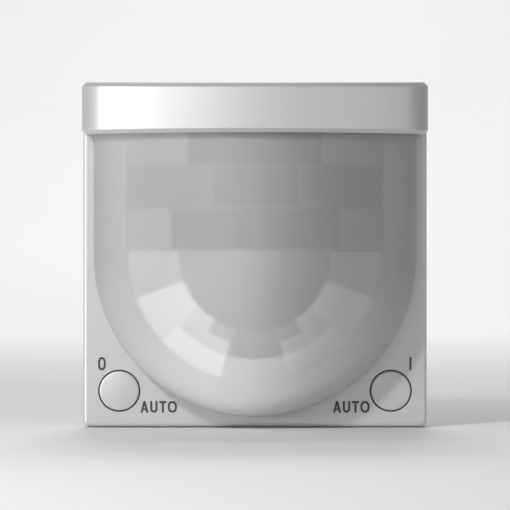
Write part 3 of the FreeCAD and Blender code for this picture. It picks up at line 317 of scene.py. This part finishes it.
def materials():
    """The materials by the slots that the record names."""
    return {
        "cover": lacquer("silver_lacquer", SILVER),
        "button": lacquer("silver_button", shade(SILVER, 1.04)),
        "lens": moulded("milky_flange", (0.74, 0.75, 0.745), 0.4),
        "housing": moulded("dark_housing", (0.055, 0.056, 0.06), 0.55, 0.08, 0.5 * MM, 0.02 * MM),
        "holder": moulded("black_holder", BLACK_PLASTIC, 0.6, 0.08),
        "board": circuit_board("circuit_board"),
        "sensor_metal": brushed("nickel_can", (0.62, 0.61, 0.58), 0.28, (1.0, 6.0, 6.0)),
        "filter": moulded("infrared_filter", (0.05, 0.04, 0.05), 0.12, 0.05),
        "tinned": brushed("tinned_wire", (0.7, 0.7, 0.7), 0.35, (6.0, 1.0, 6.0)),
        "contact": brushed("gold_contact", (0.8, 0.62, 0.28), 0.25, (6.0, 1.0, 6.0)),
        "switch": moulded("switch_case", (0.035, 0.035, 0.04), 0.5, 0.08),
        "plunger": moulded("switch_plunger", (0.3, 0.16, 0.08), 0.45, 0.06),
        "spring": brushed("spring_steel", (0.58, 0.58, 0.6), 0.26, (8.0, 8.0, 1.0)),
        "screw": brushed("zinc_plate", (0.55, 0.56, 0.6), 0.32, (3.0, 1.0, 3.0)),
        "adjuster": moulded("adjuster_case", (0.03, 0.1, 0.38), 0.4, 0.06),
        "rotor": moulded("adjuster_rotor", (0.8, 0.79, 0.75), 0.5, 0.04),
        "chip": moulded("chip_package", (0.025, 0.025, 0.028), 0.6, 0.1),
        "capacitor": brushed("aluminium_can", (0.7, 0.71, 0.73), 0.3, (6.0, 1.0, 6.0)),
        "clear": clear_epoxy("clear_epoxy", (0.86, 0.88, 0.88)),
        "lamp": clear_epoxy("red_epoxy", (0.75, 0.08, 0.05)),
        "connector": moulded("connector_block", (0.04, 0.04, 0.045), 0.5, 0.08),
    }


def finish_frame(finishes):
    """Gives each node of the frame the material of its slot in the record."""
    for part in frame["record"]["subparts"]:
        node = frame["nodes"][part["node"]]
        for slot in node.material_slots:
            slot.material = finishes[part["material_slot"]]


# Meshes

# Angle in degrees from which an edge stays crisp under smooth shading
CREASE = 35.0


def place_piece(name, mesh, materials, body="base"):
    """Puts a mesh into the scene as a piece with its materials and the body it rides on."""
    piece = bpy.data.objects.new(name, mesh)
    bpy.context.scene.collection.objects.link(piece)
    for material in materials:
        mesh.materials.append(material)
    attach(piece, body)
    return piece


def quarter_turn(steps):
    """The angles of a quarter turn in equal steps, without the first."""
    return [HALF_PI * step / steps for step in range(1, steps + 1)]


def filled(values, step):
    """The values in order, with more put evenly between them so that no gap is over one step."""
    ordered = sorted(set(values))
    result = [ordered[0]]
    for one, other in zip(ordered[:-1], ordered[1:]):
        count = max(1, math.ceil((other - one) / step))
        result += [one + (other - one) * index / count for index in range(1, count + 1)]
    return result


def lathe(mesh_name, profile, middle, facets=96):
    """A body turned about an axis along Y. The profile is a list of radius and depth. An end of it
    on the axis closes the body there."""
    mesh = bpy.data.meshes.new(mesh_name)
    build = bmesh.new()
    turns = [2 * math.pi * step / facets for step in range(facets)]
    rows = []
    for radius, depth in profile:
        rows.append([build.verts.new((middle[0] + radius * math.cos(turn), -depth,
                                      middle[1] + radius * math.sin(turn)))
                     for turn in (turns if radius else turns[:1])])
    for one, other in zip(rows[:-1], rows[1:]):
        for step in range(facets):
            after = (step + 1) % facets
            ring = [row[place % len(row)] for row, place in
                    ((one, step), (one, after), (other, after), (other, step))]
            corners = list(dict.fromkeys(ring))
            if len(corners) > 2:
                build.faces.new(corners)
    bmesh.ops.recalc_face_normals(build, faces=build.faces)
    build.to_mesh(mesh)
    build.free()
    return mesh


def smooth_by_angle(mesh):
    """Smooth shading, with the creases kept crisp."""
    mesh.polygons.foreach_set("use_smooth", [True] * len(mesh.polygons))
    mesh.set_sharp_from_angle(angle=math.radians(CREASE))


# Stage

FLOOR_HALF = 3.0
FLOOR_BELOW = 0.2 * MM
WALL_BEHIND = 1.8
SWEEP_RADIUS = 1.0
SWEEP_STEPS = 24
WALL_HEIGHT = 2.5


def floor_and_backdrop():
    """A pale floor that sweeps up into the wall behind the object."""
    level = COVER_LOW.z - FLOOR_BELOW
    foot = WALL_BEHIND - SWEEP_RADIUS
    profile = [(-FLOOR_HALF, level), (foot, level)]
    profile += [(foot + SWEEP_RADIUS * math.sin(turn), level + SWEEP_RADIUS * (1 - math.cos(turn)))
                for turn in quarter_turn(SWEEP_STEPS)]
    profile.append((WALL_BEHIND, level + WALL_HEIGHT))
    mesh = bpy.data.meshes.new("floor")
    vertices = [(side * FLOOR_HALF, y, z) for y, z in profile for side in (-1, 1)]
    faces = [(2 * i, 2 * i + 1, 2 * i + 3, 2 * i + 2) for i in range(len(profile) - 1)]
    mesh.from_pydata(vertices, [], faces)
    smooth_by_angle(mesh)
    piece = bpy.data.objects.new("floor", mesh)
    bpy.context.scene.collection.objects.link(piece)
    nodes = Nodes("pale_floor")
    cloud = nodes.ranged(nodes.noise(0.3, 2.0), 0.0, 1.0)
    tint = nodes.mixed(cloud, (0.78, 0.78, 0.78), (0.82, 0.82, 0.82))
    nodes.join(tint, nodes.shader.inputs["Base Color"])
    nodes.shader.inputs["Roughness"].default_value = 0.9
    nodes.shader.inputs["Specular IOR Level"].default_value = 0.1
    mesh.materials.append(nodes.material)


COVER_MIDDLE = (0.0, -FACE, 0.0)
COVER_UPPER = (0.0, -FACE, 10.0 * MM)
REAR_MIDDLE = (0.0, 0.0, 0.0)
BACKDROP_LOW = (0.0, WALL_BEHIND - 0.1, 0.3)

# Each round lamp: its place, what it points at, its width in metres and its power in watts. The
# small key lamp stands at the upper left, the softer ones at the left, low down, in front, at the
# right and behind, and the last one lights the backdrop.
LAMPS = {
    "key": ((-0.205, -0.35, 0.212), COVER_MIDDLE, 0.045, 0.92),
    "left": ((-0.43, -0.22, 0.0), COVER_MIDDLE, 0.12, 0.47),
    "low": ((-0.26, -0.2, -0.004), COVER_UPPER, 0.055, 0.17),
    "front": ((-0.21, -2.2, 0.0), REAR_MIDDLE, 1.68, 5.2),
    "right": ((0.56, -0.54, 0.05), COVER_MIDDLE, 0.6, 0.74),
    "rear": ((0.0, 1.2, 1.0), REAR_MIDDLE, 0.5, 7.0),
    "backdrop": ((0.0, 0.6, 1.2), BACKDROP_LOW, 1.0, 7.5),
}
STUDIO_COLOUR = (0.82, 0.83, 0.85)
STUDIO_STRENGTH = 0.28


def area_light(name, place, target, size, power):
    """A round lamp that the view doesn't show."""
    data = bpy.data.lights.new(name, "AREA")
    data.shape = "DISK"
    data.size = size
    data.energy = power
    lamp = bpy.data.objects.new(name, data)
    lamp.location = place
    lamp.rotation_euler = (Vector(target) - Vector(place)).to_track_quat("-Z", "Y").to_euler()
    lamp.visible_camera = False
    bpy.context.scene.collection.objects.link(lamp)


def lights():
    """The lamps, and a faint even light from all round."""
    for name, settings in LAMPS.items():
        area_light(name, *settings)
    world = bpy.data.worlds.new("studio")
    bpy.context.scene.world = world
    world.use_nodes = True
    background = world.node_tree.nodes["Background"]
    background.inputs["Color"].default_value = (*STUDIO_COLOUR, 1.0)
    background.inputs["Strength"].default_value = STUDIO_STRENGTH


# Lens

# The dome and its flange
LENS_RADIUS = 32.7 * MM
LENS_STRAIGHT = 4.0 * MM
LENS_SHOULDER = 9.0 * MM
LENS_RISE = -LENS_LOW.y - FACE
LENS_UNDER_HOOD = 3.3 * MM
LENS_TOP = HOOD_LOW.z + LENS_UNDER_HOOD
LENS_BACK = -LENS_HIGH.y
LENS_FLANGE = 1.4 * MM
BUTTON_DISTANCE = math.hypot(BUTTON_MIDDLE.x, BUTTON_MIDDLE.z)
FLANGE_ROOM = 5.1 * MM

# The core under the skin, which comes up close to it where the dome turns away from the front
CORE_INSET = 0.75 * MM
CORE_RISEN = 0.05 * MM
RISE_STARTS, RISE_ENDS = 30.0, 72.0
SHOWN_RELIEF = 0.04 * MM

# The thick wall round the segments, whose inner face looks up below the middle, and the painted light that
# makes its tone brighter towards the bottom
WALL_LIFT = 0.5
WALL_PAINTED_LIGHT = 0.66
WALL_PAINTED_LIGHT_POWER = 1.5

# The segments in the front view, with thick ribs between them
FIELD_HALF = 25.7 * MM
FIRST_ROW = 0.9 * MM
ROW_HEIGHT = 8.45 * MM
FAN_INNER, FAN_MIDDLE, FAN_OUTER = 15.1 * MM, 20.8 * MM, 25.3 * MM
FAN_STEP = 18.1 * MM
WING_ENDS, CHEEK_ENDS, STEP_STARTS, CHIN_STARTS, FAN_ENDS = 20.0, 43.0, 58.0, 74.0, 90.0
FAN_GAP = 0.8
SHOWN_RIB = 0.28 * MM
RIB_GLOW = 1.03

# How softly and how finely the inside is drawn
SLOPE_WIDTH = 0.3 * MM
BLUR = 0.35 * MM
BLUR_POINTS = 8
SKIN_STEP = 1.2 * MM
CORE_STEP = 0.55 * MM
FLANGE_TURN = 2
WELD = 0.001 * MM
PARALLEL = 1e-6


class Arch:
    """The plan section of the lens: a front arc, a shoulder and a straight side, as its CAD has it."""

    def __init__(self, inset):
        self.shoulder = LENS_SHOULDER - inset
        self.half_width = LENS_RADIUS - inset
        self.line = FACE + LENS_STRAIGHT
        self.apex = FACE + LENS_RISE - inset
        self.across = LENS_RADIUS - LENS_SHOULDER
        rise = LENS_RISE - LENS_STRAIGHT
        whole = (self.across ** 2 + rise ** 2 - LENS_SHOULDER ** 2) / (2 * (rise - LENS_SHOULDER))
        self.front = whole - inset
        self.turn = math.asin(self.across / (whole - LENS_SHOULDER))
        self.front_length = self.front * self.turn
        self.shoulder_length = self.shoulder * (HALF_PI - self.turn)
        self.length = self.front_length + self.shoulder_length + self.line - LENS_BACK

    def at(self, run):
        """Half width, depth, and how far it has turned from the front, so far along from the middle."""
        if run <= self.front_length:
            angle = run / self.front
            return self.front * math.sin(angle), self.apex - self.front * (1 - math.cos(angle)), angle
        run -= self.front_length
        if run <= self.shoulder_length:
            angle = self.turn + run / self.shoulder
            half_width = self.across + self.shoulder * math.sin(angle)
            return half_width, self.line + self.shoulder * math.cos(angle), angle
        return self.half_width, self.line - (run - self.shoulder_length), HALF_PI

    def run_at(self, half_width):
        """How far along the section it is so wide."""
        if half_width <= self.front * math.sin(self.turn):
            return self.front * math.asin(half_width / self.front)
        angle = math.asin((half_width - self.across) / self.shoulder)
        return self.front_length + self.shoulder * (angle - self.turn)


class Segment:
    """How one segment of the lens looks: its tone, how far its prisms lean up, how fast they lean
    outwards with the distance from the middle, whether their rings show, and whether it is thick."""

    def __init__(self, tone, up, outward, ringed=0.0, thick=False):
        self.tone = tone
        self.up = up
        self.outward = outward
        self.ringed = ringed
        self.thick = thick

    def rib(self):
        """The thicker border of the segment."""
        return Segment(self.tone * RIB_GLOW, self.up, self.outward, thick=True)


# The wall round the segments, the field inside the fan, the strip inside the fan's step, the ribs
# between the rows, and the fan's upper end, which reaches a little above the middle
SMOOTH = Segment(0.86, 0.0, 26.0, thick=True)
BETWEEN = Segment(0.96, 0.0, 66.0, thick=True)
# The strip beside the step and the wing have tones that are partly their own and partly painted light that
# brightens the lower half of the lens.
BESIDE_STEP = Segment(1.14, 0.1, 64.0, thick=True)
ROW_RIB = Segment(0.81, 0.0, 54.0, thick=True)
WING = Segment(1.26, 0.05, 88.0)

# The rows of cells above the lens's middle: from height, to height, the borders, and the looks of
# the cells from the middle outwards. A first border away from the middle means one cell across it.
SECOND_ROW, THIRD_ROW = FIRST_ROW + ROW_HEIGHT, FIRST_ROW + 2 * ROW_HEIGHT
ROWS = (
    (FIRST_ROW, SECOND_ROW, (0.0, 16.75 * MM, FIELD_HALF),
     (Segment(0.69, 0.0, 52.0, ringed=1.0), Segment(0.9, 0.0, 64.0, ringed=0.5))),
    (SECOND_ROW, THIRD_ROW, (8.65 * MM, FIELD_HALF),
     (Segment(0.68, 0.0, 50.0, ringed=0.3), Segment(0.77, 0.0, 64.0))),
    (THIRD_ROW, LENS_TOP + MM, (13.4 * MM, FIELD_HALF),
     (Segment(0.65, 0.0, 48.0), Segment(0.87, 0.0, 64.0))),
)

# The fan below the middle: from angle, to angle below the horizontal, from radius, to radius, look.
# What lies further in comes first.
# The tones here lie well above the rows' tones: partly each segment's own tone, partly painted light that
# makes the lower half of the lens brighter.
FAN = (
    (0.0, WING_ENDS, FAN_INNER, FAN_OUTER, WING),
    (WING_ENDS, CHEEK_ENDS, FAN_INNER, FAN_OUTER, Segment(1.72, 0.42, 70.0)),
    (CHEEK_ENDS, STEP_STARTS, FAN_INNER, FAN_MIDDLE, Segment(1.56, 0.36, 66.0)),
    (STEP_STARTS, CHIN_STARTS, FAN_STEP, FAN_MIDDLE, Segment(1.52, 0.4, 66.0)),
    (CHIN_STARTS, FAN_ENDS, FAN_INNER, FAN_MIDDLE, Segment(1.04, 0.0, 44.0)),
    (CHEEK_ENDS, CHIN_STARTS, FAN_MIDDLE, FAN_OUTER, Segment(1.92, 0.5, 70.0)),
)


def row_segment(across, up):
    """The look of a point of the rows: its cell's, or the rib's between them."""
    half = SHOWN_RIB / 2
    for low, high, borders, cells in ROWS:
        starts = borders if borders[0] == 0.0 else (-borders[0],) + borders
        for start, end, cell in zip(starts[:-1], starts[1:], cells):
            if low + half < up < high - half and start + half < across < end - half:
                return cell
    return ROW_RIB if across < FIELD_HALF else SMOOTH


def fan_segment(across, up):
    """The look of a point below the middle. No rib runs along the horizontal or the middle line."""
    half = SHOWN_RIB / 2
    radius = math.hypot(across, up)
    angle = math.degrees(math.atan2(-up, across))
    for start, end, inner, outer, look in FAN:
        first = start + FAN_GAP / 2 if start > 0.0 else start
        last = end - FAN_GAP / 2 if end < FAN_ENDS else end
        if first < angle <= last and inner + half < radius < outer - half:
            return look
    if radius < FAN_INNER:
        return BETWEEN
    for start, end, inner, outer, look in FAN:
        if start <= angle <= end and radius < outer:
            return look.rib() if radius > inner - half else BESIDE_STEP
    return SMOOTH


def segment_at(across, up):
    """The look of the lens at a point of the front view."""
    across = abs(across)
    if up > ROWS[0][0]:
        return row_segment(across, up)
    if up < 0.0:
        return fan_segment(across, up)
    if across < FAN_INNER:
        return BETWEEN
    return WING if across < FAN_OUTER else SMOOTH


def both_sides_of(border):
    """The places where the rib along a border starts to rise, is up, starts to fall and is down."""
    half, slope = SHOWN_RIB / 2, SLOPE_WIDTH / 2
    return [border - half - slope, border - half + slope, border + half - slope, border + half + slope]


def dome_grids(section, widths, ups, turns, step):
    """Points over the dome as two grids, the part drawn straight up and the part turned below it,
    which share their row at the middle. Each point is its place and its outward normal."""
    shoulder_ends = section.front_length + section.shoulder_length
    runs = filled([0.0, section.front_length, shoulder_ends, section.length]
                  + [section.run_at(width) for width in widths], step)

    def row(flat, up, some_runs):
        points = []
        for run in some_runs:
            half, depth, turn = section.at(run)
            place = flat * half + Vector((0.0, -depth, up))
            points.append((place, flat * math.sin(turn) - Vector((0.0, math.cos(turn), 0.0))))
        return points

    left, right = Vector((-1.0, 0.0, 0.0)), Vector((1.0, 0.0, 0.0))
    heights = filled([0.0, LENS_TOP] + ups, step)
    upper = [row(left, up, runs[:0:-1]) + row(right, up, runs) for up in heights]
    lower = []
    for turn in reversed(filled([0.0, 180.0] + turns, math.degrees(step / FAN_INNER))):
        flat = Vector((math.cos(math.radians(turn)), 0.0, -math.sin(math.radians(turn))))
        lower.append(row(flat, 0.0, runs))
    return upper, lower


def core_inset(place, normal):
    """Deeper behind the thick parts, and close under the skin where the dome turns away."""
    turned = math.degrees(math.acos(max(-1.0, min(1.0, -normal.y))))
    share = max(0.0, min(1.0, (turned - RISE_STARTS) / (RISE_ENDS - RISE_STARTS)))
    relief = SHOWN_RELIEF if segment_at(place.x, place.z).thick else 0.0
    return relief * (1 - share) - (CORE_INSET - CORE_RISEN) * share


def add_grid(build, rows, slot, inset=lambda place, normal: 0.0):
    """Adds one grid's faces to a mesh in the making. The inset says how far a point is set in."""
    placed = [[build.verts.new(place - normal * inset(place, normal)) for place, normal in row]
              for row in rows]
    for one, other in zip(placed[:-1], placed[1:]):
        for corners in zip(one[:-1], one[1:], other[1:], other[:-1]):
            face = build.faces.new(corners)
            face.material_index = slot
            face.smooth = True
    return placed


def reach(direction, lines):
    """How far from the middle a ray gets before it leaves the shape between the lines."""
    return min(away / direction.dot(normal) for normal, away in lines
               if direction.dot(normal) > PARALLEL)


def add_flange(build, slot):
    """The flat flange round the foot of the dome, its lower corners cut back for the buttons."""
    right, up = Vector((1.0, 0.0)), Vector((0.0, 1.0))
    outer = [(right, LENS_HIGH.x), (-right, -LENS_LOW.x), (up, LENS_HIGH.z), (-up, -LENS_LOW.z)]
    outer += [((side * right - up).normalized(), BUTTON_DISTANCE - FLANGE_ROOM) for side in (-1, 1)]
    inner = [(right, LENS_RADIUS), (-right, LENS_RADIUS), (up, LENS_TOP)]
    back, front = -LENS_BACK, -LENS_BACK - LENS_FLANGE
    rows = []
    for degree in range(0, 360, FLANGE_TURN):
        direction = Vector((math.cos(math.radians(degree)), math.sin(math.radians(degree))))
        inside = LENS_RADIUS if direction.y < 0.0 else reach(direction, inner)
        foot, edge = direction * (inside - CORE_INSET), direction * reach(direction, outer)
        rows.append([build.verts.new((corner.x, depth, corner.y)) for corner, depth in (
            (foot, front), (edge, front), (edge, back), (foot, back))])
    for one, other in zip(rows, rows[1:] + rows[:1]):
        for place, after in ((0, 1), (1, 2), (2, 3), (3, 0)):
            face = build.faces.new((one[place], one[after], other[after], other[place]))
            face.material_index = slot


def look_at(across, up):
    """Tone and lean of the lens's inside at a point of the front view. Below the middle the thick wall
    shows its inner face, which looks up, and painted light, standing for the light that the lens takes in,
    makes its tone brighter towards the bottom."""
    look = segment_at(across, up)
    outward = look.outward * across
    if look is not SMOOTH or up >= 0.0:
        return look.tone, (outward, 0.0, look.up)
    below = -up / math.hypot(across, up)
    # Painted light: the wall's tone grows brighter towards the bottom.
    return look.tone + WALL_PAINTED_LIGHT * below ** WALL_PAINTED_LIGHT_POWER, (outward, 0.0, WALL_LIFT * below)


def blurred_look_at(across, up):
    """The look of the inside as the milky skin blurs it: the mean over a small circle."""
    turns = [2 * math.pi * step / BLUR_POINTS for step in range(BLUR_POINTS)]
    looks = [look_at(across, up)]
    looks += [look_at(across + BLUR * math.cos(turn), up + BLUR * math.sin(turn)) for turn in turns]
    tone = sum(tone for tone, lean in looks) / len(looks)
    return tone, [sum(lean[axis] for tone, lean in looks) / len(looks) for axis in range(3)]


def paint_segments(mesh):
    """Writes each point's tone, lean and show of rings into the mesh."""
    tones, leans, ringed = [], [], []
    for vertex in mesh.vertices:
        tone, lean = blurred_look_at(vertex.co.x, vertex.co.z)
        tones.append(tone)
        leans += lean
        ringed.append(segment_at(vertex.co.x, vertex.co.z).ringed)
    for name, values in (("tone", tones), ("ringed", ringed)):
        mesh.attributes.new(name, "FLOAT", "POINT").data.foreach_set("value", values)
    mesh.attributes.new("lean", "FLOAT_VECTOR", "POINT").data.foreach_set("vector", leans)


def core_grids():
    """The core's points over the dome, with some of them on both sides of each rib."""
    borders = {border for row in ROWS for border in row[2]}
    borders |= {radius for part in FAN for radius in part[2:4]}
    widths = [place for border in borders for place in both_sides_of(border) if place > 0.0]
    ups = [place for row in ROWS for up in row[:2] for place in both_sides_of(up) if place < LENS_TOP]
    angles = {angle for part in FAN for angle in part[:2] if angle < FAN_ENDS}
    slope = math.degrees(SLOPE_WIDTH / 2 / FAN_INNER)
    turns = [angle + sign * FAN_GAP / 2 + edge
             for angle in angles for sign in (-1, 1) for edge in (-slope, slope)]
    turns += [180.0 - turn for turn in turns]
    return dome_grids(Arch(CORE_INSET), widths, ups, turns, CORE_STEP)


def lens(skin, core):
    """The lens: a smooth milky skin, and under it the thinner segments between their ribs."""
    skin_slot, core_slot = 0, 1
    build = bmesh.new()
    upper, lower = dome_grids(Arch(0.0), [], [], [], SKIN_STEP)
    top = add_grid(build, upper, skin_slot)[-1]
    build.faces.new(top).material_index = core_slot
    add_grid(build, lower, skin_slot)
    for rows in core_grids():
        add_grid(build, rows, core_slot, core_inset)
    add_flange(build, core_slot)
    bmesh.ops.remove_doubles(build, verts=build.verts, dist=WELD)

    mesh = bpy.data.meshes.new("lens")
    build.to_mesh(mesh)
    build.free()
    paint_segments(mesh)
    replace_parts(place_piece("lens", mesh, (skin, core)), "lens_dome")


# Buttons

BUTTON_RADIUS = 4.05 * MM
BUTTON_CROWN = 0.3 * MM
BUTTON_EDGE = 0.4 * MM
CROWN_STEPS = 12
EDGE_STEPS = 8
COLLAR_THICKNESS = 0.7 * MM


def button(side, face_finish, bare):
    """A push-button's cap: a shallow crown with a rounded edge, lacquered, and below it the bare
    plastic of its side and of the collar that keeps it in."""
    low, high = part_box(side + "_button")
    middle = ((low.x + high.x) / 2, (low.z + high.z) / 2)
    face, back, collar = -low.y, -high.y, (high.x - low.x) / 2
    crown = (BUTTON_RADIUS ** 2 + BUTTON_CROWN ** 2) / (2 * BUTTON_CROWN)
    inner = BUTTON_RADIUS - BUTTON_EDGE
    profile = [(0.0, face)]
    for step in range(1, CROWN_STEPS + 1):
        radius = inner * step / CROWN_STEPS
        profile.append((radius, face - crown + math.sqrt(crown ** 2 - radius ** 2)))
    edge_depth = profile[-1][1] - BUTTON_EDGE
    profile += [(inner + BUTTON_EDGE * math.sin(turn), edge_depth + BUTTON_EDGE * math.cos(turn))
                for turn in quarter_turn(EDGE_STEPS)]
    profile += [(BUTTON_RADIUS, back + COLLAR_THICKNESS), (collar, back + COLLAR_THICKNESS),
                (collar, back), (0.0, back)]
    mesh = lathe(side + "_cap", profile, middle)
    smooth_by_angle(mesh)
    for polygon in mesh.polygons:
        polygon.material_index = 1 if polygon.center.y > -edge_depth else 0
    piece = place_piece(side + "_cap", mesh, (face_finish, bare), side + "_button")
    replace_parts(piece, side + "_button")


# Screws

SCREW_RADIUS = 1.1 * MM
SCREW_HEAD = 1.0 * MM
HEAD_EDGE = 0.3 * MM
HEAD_EDGE_STEPS = 4
CROSS_LENGTH = 2.2 * MM
CROSS_WIDTH = 0.5 * MM
CROSS_DEPTH = 0.6 * MM
CROSS_TAPER = 0.8
THREAD_PITCH = 0.8 * MM
THREAD_DEPTH = 0.18 * MM
SCREW_FACETS = 48


def screw_profile(head, top, seat, tip):
    """Radius and depth along a pan-head screw, from its tip to the rim of its flat top."""
    point = SCREW_RADIUS / 2
    flanks = int(2 * (tip - seat) / THREAD_PITCH)
    profile = [(0.0, tip), (point, tip)]
    for step in range(flanks):
        depth = tip - point - (tip - point - seat) * step / flanks
        profile.append((SCREW_RADIUS - THREAD_DEPTH * (step % 2), depth))
    profile += [(SCREW_RADIUS, seat), (head, seat), (head, top + HEAD_EDGE)]
    profile += [(head - HEAD_EDGE * (1 - math.cos(turn)), top + HEAD_EDGE * (1 - math.sin(turn)))
                for turn in quarter_turn(HEAD_EDGE_STEPS)]
    return profile


def add_cross(build, middle, top):
    """Closes a screw's flat top, whose rim is the only open edge, round a cross recess."""
    rim = [edge for edge in build.edges if len(edge.link_faces) == 1]
    half, arm = CROSS_WIDTH / 2, CROSS_LENGTH / 2
    corners = [(arm, -half), (arm, half), (half, half), (half, arm), (-half, arm), (-half, half),
               (-arm, half), (-arm, -half), (-half, -half), (-half, -arm), (half, -arm), (half, -half)]
    mouth, floor = [[build.verts.new((middle[0] + across * taper, -top - depth, middle[1] + up * taper))
                     for across, up in corners]
                    for taper, depth in ((1.0, 0.0), (CROSS_TAPER, CROSS_DEPTH))]
    edges = [build.edges.new(pair) for pair in zip(mouth, mouth[1:] + mouth[:1])]
    bmesh.ops.triangle_fill(build, edges=rim + edges, use_beauty=True)
    for index in range(len(corners)):
        after = (index + 1) % len(corners)
        build.faces.new((mouth[index], mouth[after], floor[after], floor[index]))
    build.faces.new(floor)


def screws(material):
    """The two screws that hold the housing to the cover, in place of the plain ones."""
    low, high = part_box("housing_screws")
    head = (high.z - low.z) / 2
    top, tip = -high.y, -low.y
    for name, x in (("left_screw", low.x + head), ("right_screw", high.x - head)):
        middle = (x, (low.z + high.z) / 2)
        mesh = lathe(name, screw_profile(head, top, top + SCREW_HEAD, tip), middle, SCREW_FACETS)
        build = bmesh.new()
        build.from_mesh(mesh)
        add_cross(build, middle, top)
        bmesh.ops.recalc_face_normals(build, faces=build.faces)
        build.to_mesh(mesh)
        build.free()
        smooth_by_angle(mesh)
        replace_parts(place_piece(name, mesh, (material,)), "housing_screws")


# Marks on the face

MARK_STROKE = 0.43 * MM
MARK_PROUD = 0.03 * MM
WORD_HEIGHT, WORD_WIDTH = 2.38 * MM, 7.46 * MM
WORD_FROM_EDGE = 11.64 * MM
WORD_FOOT = COVER_LOW.z + 2.86 * MM
FIGURE_HEIGHT, OFF_WIDTH, ON_WIDTH = 2.7 * MM, 1.6 * MM, 0.41 * MM
OFF_START, ON_START = COVER_LOW.x + 3.0 * MM, COVER_HIGH.x - 3.53 * MM
FIGURE_FOOT = COVER_LOW.z + 11.5 * MM
OVAL_STEPS = 48
OVAL_SQUARENESS = 0.85
BOWL_STEPS = 16


def oval(width, height, inset):
    """An upright oval in a box from the origin, squarer than an ellipse."""
    def bulged(share):
        """The share of the half width or height that an ellipse would have, made squarer."""
        return math.copysign(abs(share) ** OVAL_SQUARENESS, share)

    turns = [2 * math.pi * step / OVAL_STEPS for step in range(OVAL_STEPS)]
    return [(width / 2 + bulged(math.cos(turn)) * (width / 2 - inset),
             height / 2 + bulged(math.sin(turn)) * (height / 2 - inset)) for turn in turns]


# Each letter is a list of closed outlines in a box from the origin: its outside and its hole.

def letter_a(width, height, stroke):
    """Two leaning legs and a bar, all a little off the stroke's width to look even."""
    shoulder = (width - stroke) / 2
    leg, bar, bar_low = stroke * 1.08, stroke * 0.85, height * 0.22
    bar_high = bar_low + bar

    def inner(up):
        """Where a leg's inner side is at a height."""
        return leg + shoulder * up / height

    tip = (width / 2 - leg) * height / shoulder
    outline = [(0.0, 0.0), (shoulder, height), (width - shoulder, height), (width, 0.0), (width - leg, 0.0),
               (width - inner(bar_low), bar_low), (inner(bar_low), bar_low), (leg, 0.0)]
    return [outline, [(inner(bar_high), bar_high), (width - inner(bar_high), bar_high), (width / 2, tip)]]


def letter_u(width, height, stroke):
    """Two uprights on a half round."""
    radius = width / 2
    turns = [math.pi * step / BOWL_STEPS for step in range(BOWL_STEPS + 1)]
    outside = [(radius - radius * math.cos(turn), radius - radius * math.sin(turn)) for turn in turns]
    inside = [(radius + (radius - stroke) * math.cos(turn), radius - (radius - stroke) * math.sin(turn))
              for turn in turns]
    return [[(0.0, height)] + outside + [(width, height), (width - stroke, height)] + inside
            + [(stroke, height)]]


def letter_t(width, height, stroke):
    """A bar on an upright."""
    near, far, under = (width - stroke) / 2, (width + stroke) / 2, height - stroke
    return [[(0.0, height), (0.0, under), (near, under), (near, 0.0), (far, 0.0), (far, under),
             (width, under), (width, height)]]


def letter_o(width, height, stroke):
    """An oval ring, also the figure on the left."""
    return [oval(width, height, 0.0), oval(width, height, stroke)]


def letter_i(width, height, stroke):
    """The plain upright of the figure on the right."""
    return [[(0.0, 0.0), (0.0, height), (width, height), (width, 0.0)]]


# The letters of the word: their shapes, where they start and how wide they are
AUTO = ((letter_a, 0.0, 1.66 * MM), (letter_u, 2.0 * MM, 1.5 * MM), (letter_t, 3.87 * MM, 1.43 * MM),
        (letter_o, 5.57 * MM, 1.89 * MM))


def mark(name, letters, left, foot, height, ink):
    """A printed word or figure on the cover's face."""
    build = bmesh.new()
    for shape, start, width in letters:
        edges = []
        for loop in shape(width, height, MARK_STROKE):
            points = [build.verts.new((left + start + across, -FACE, foot + up)) for across, up in loop]
            edges += [build.edges.new(pair) for pair in zip(points, points[1:] + points[:1])]
        bmesh.ops.triangle_fill(build, edges=edges, use_beauty=True)
    grown = bmesh.ops.extrude_face_region(build, geom=build.faces[:])
    raised = [item for item in grown["geom"] if isinstance(item, bmesh.types.BMVert)]
    bmesh.ops.translate(build, verts=raised, vec=(0.0, -MARK_PROUD, 0.0))
    bmesh.ops.recalc_face_normals(build, faces=build.faces)
    mesh = bpy.data.meshes.new(name)
    build.to_mesh(mesh)
    build.free()
    place_piece(name, mesh, (ink,))


def marks(ink):
    """The word beside each button, and the figure above it."""
    for side, start in (("left", COVER_LOW.x + WORD_FROM_EDGE),
                        ("right", COVER_HIGH.x - WORD_FROM_EDGE - WORD_WIDTH)):
        mark("mark_auto_" + side, AUTO, start, WORD_FOOT, WORD_HEIGHT, ink)
    mark("mark_off", [(letter_o, 0.0, OFF_WIDTH)], OFF_START, FIGURE_FOOT, FIGURE_HEIGHT, ink)
    mark("mark_on", [(letter_i, 0.0, ON_WIDTH)], ON_START, FIGURE_FOOT, FIGURE_HEIGHT, ink)


# The whole

camera()
floor_and_backdrop()
lights()
finishes = materials()
finish_frame(finishes)
lens(lens_skin("milky_skin", LENS_COLOUR), lens_core("milky_core", LENS_COLOUR))
for side in ("left", "right"):
    button(side, finishes["button"], moulded("bare_plastic_" + side, BLACK_PLASTIC, 0.6))
screws(finishes["screw"])
marks(printed_ink("printed_ink"))

bpy.context.scene.view_settings.view_transform = "Standard"
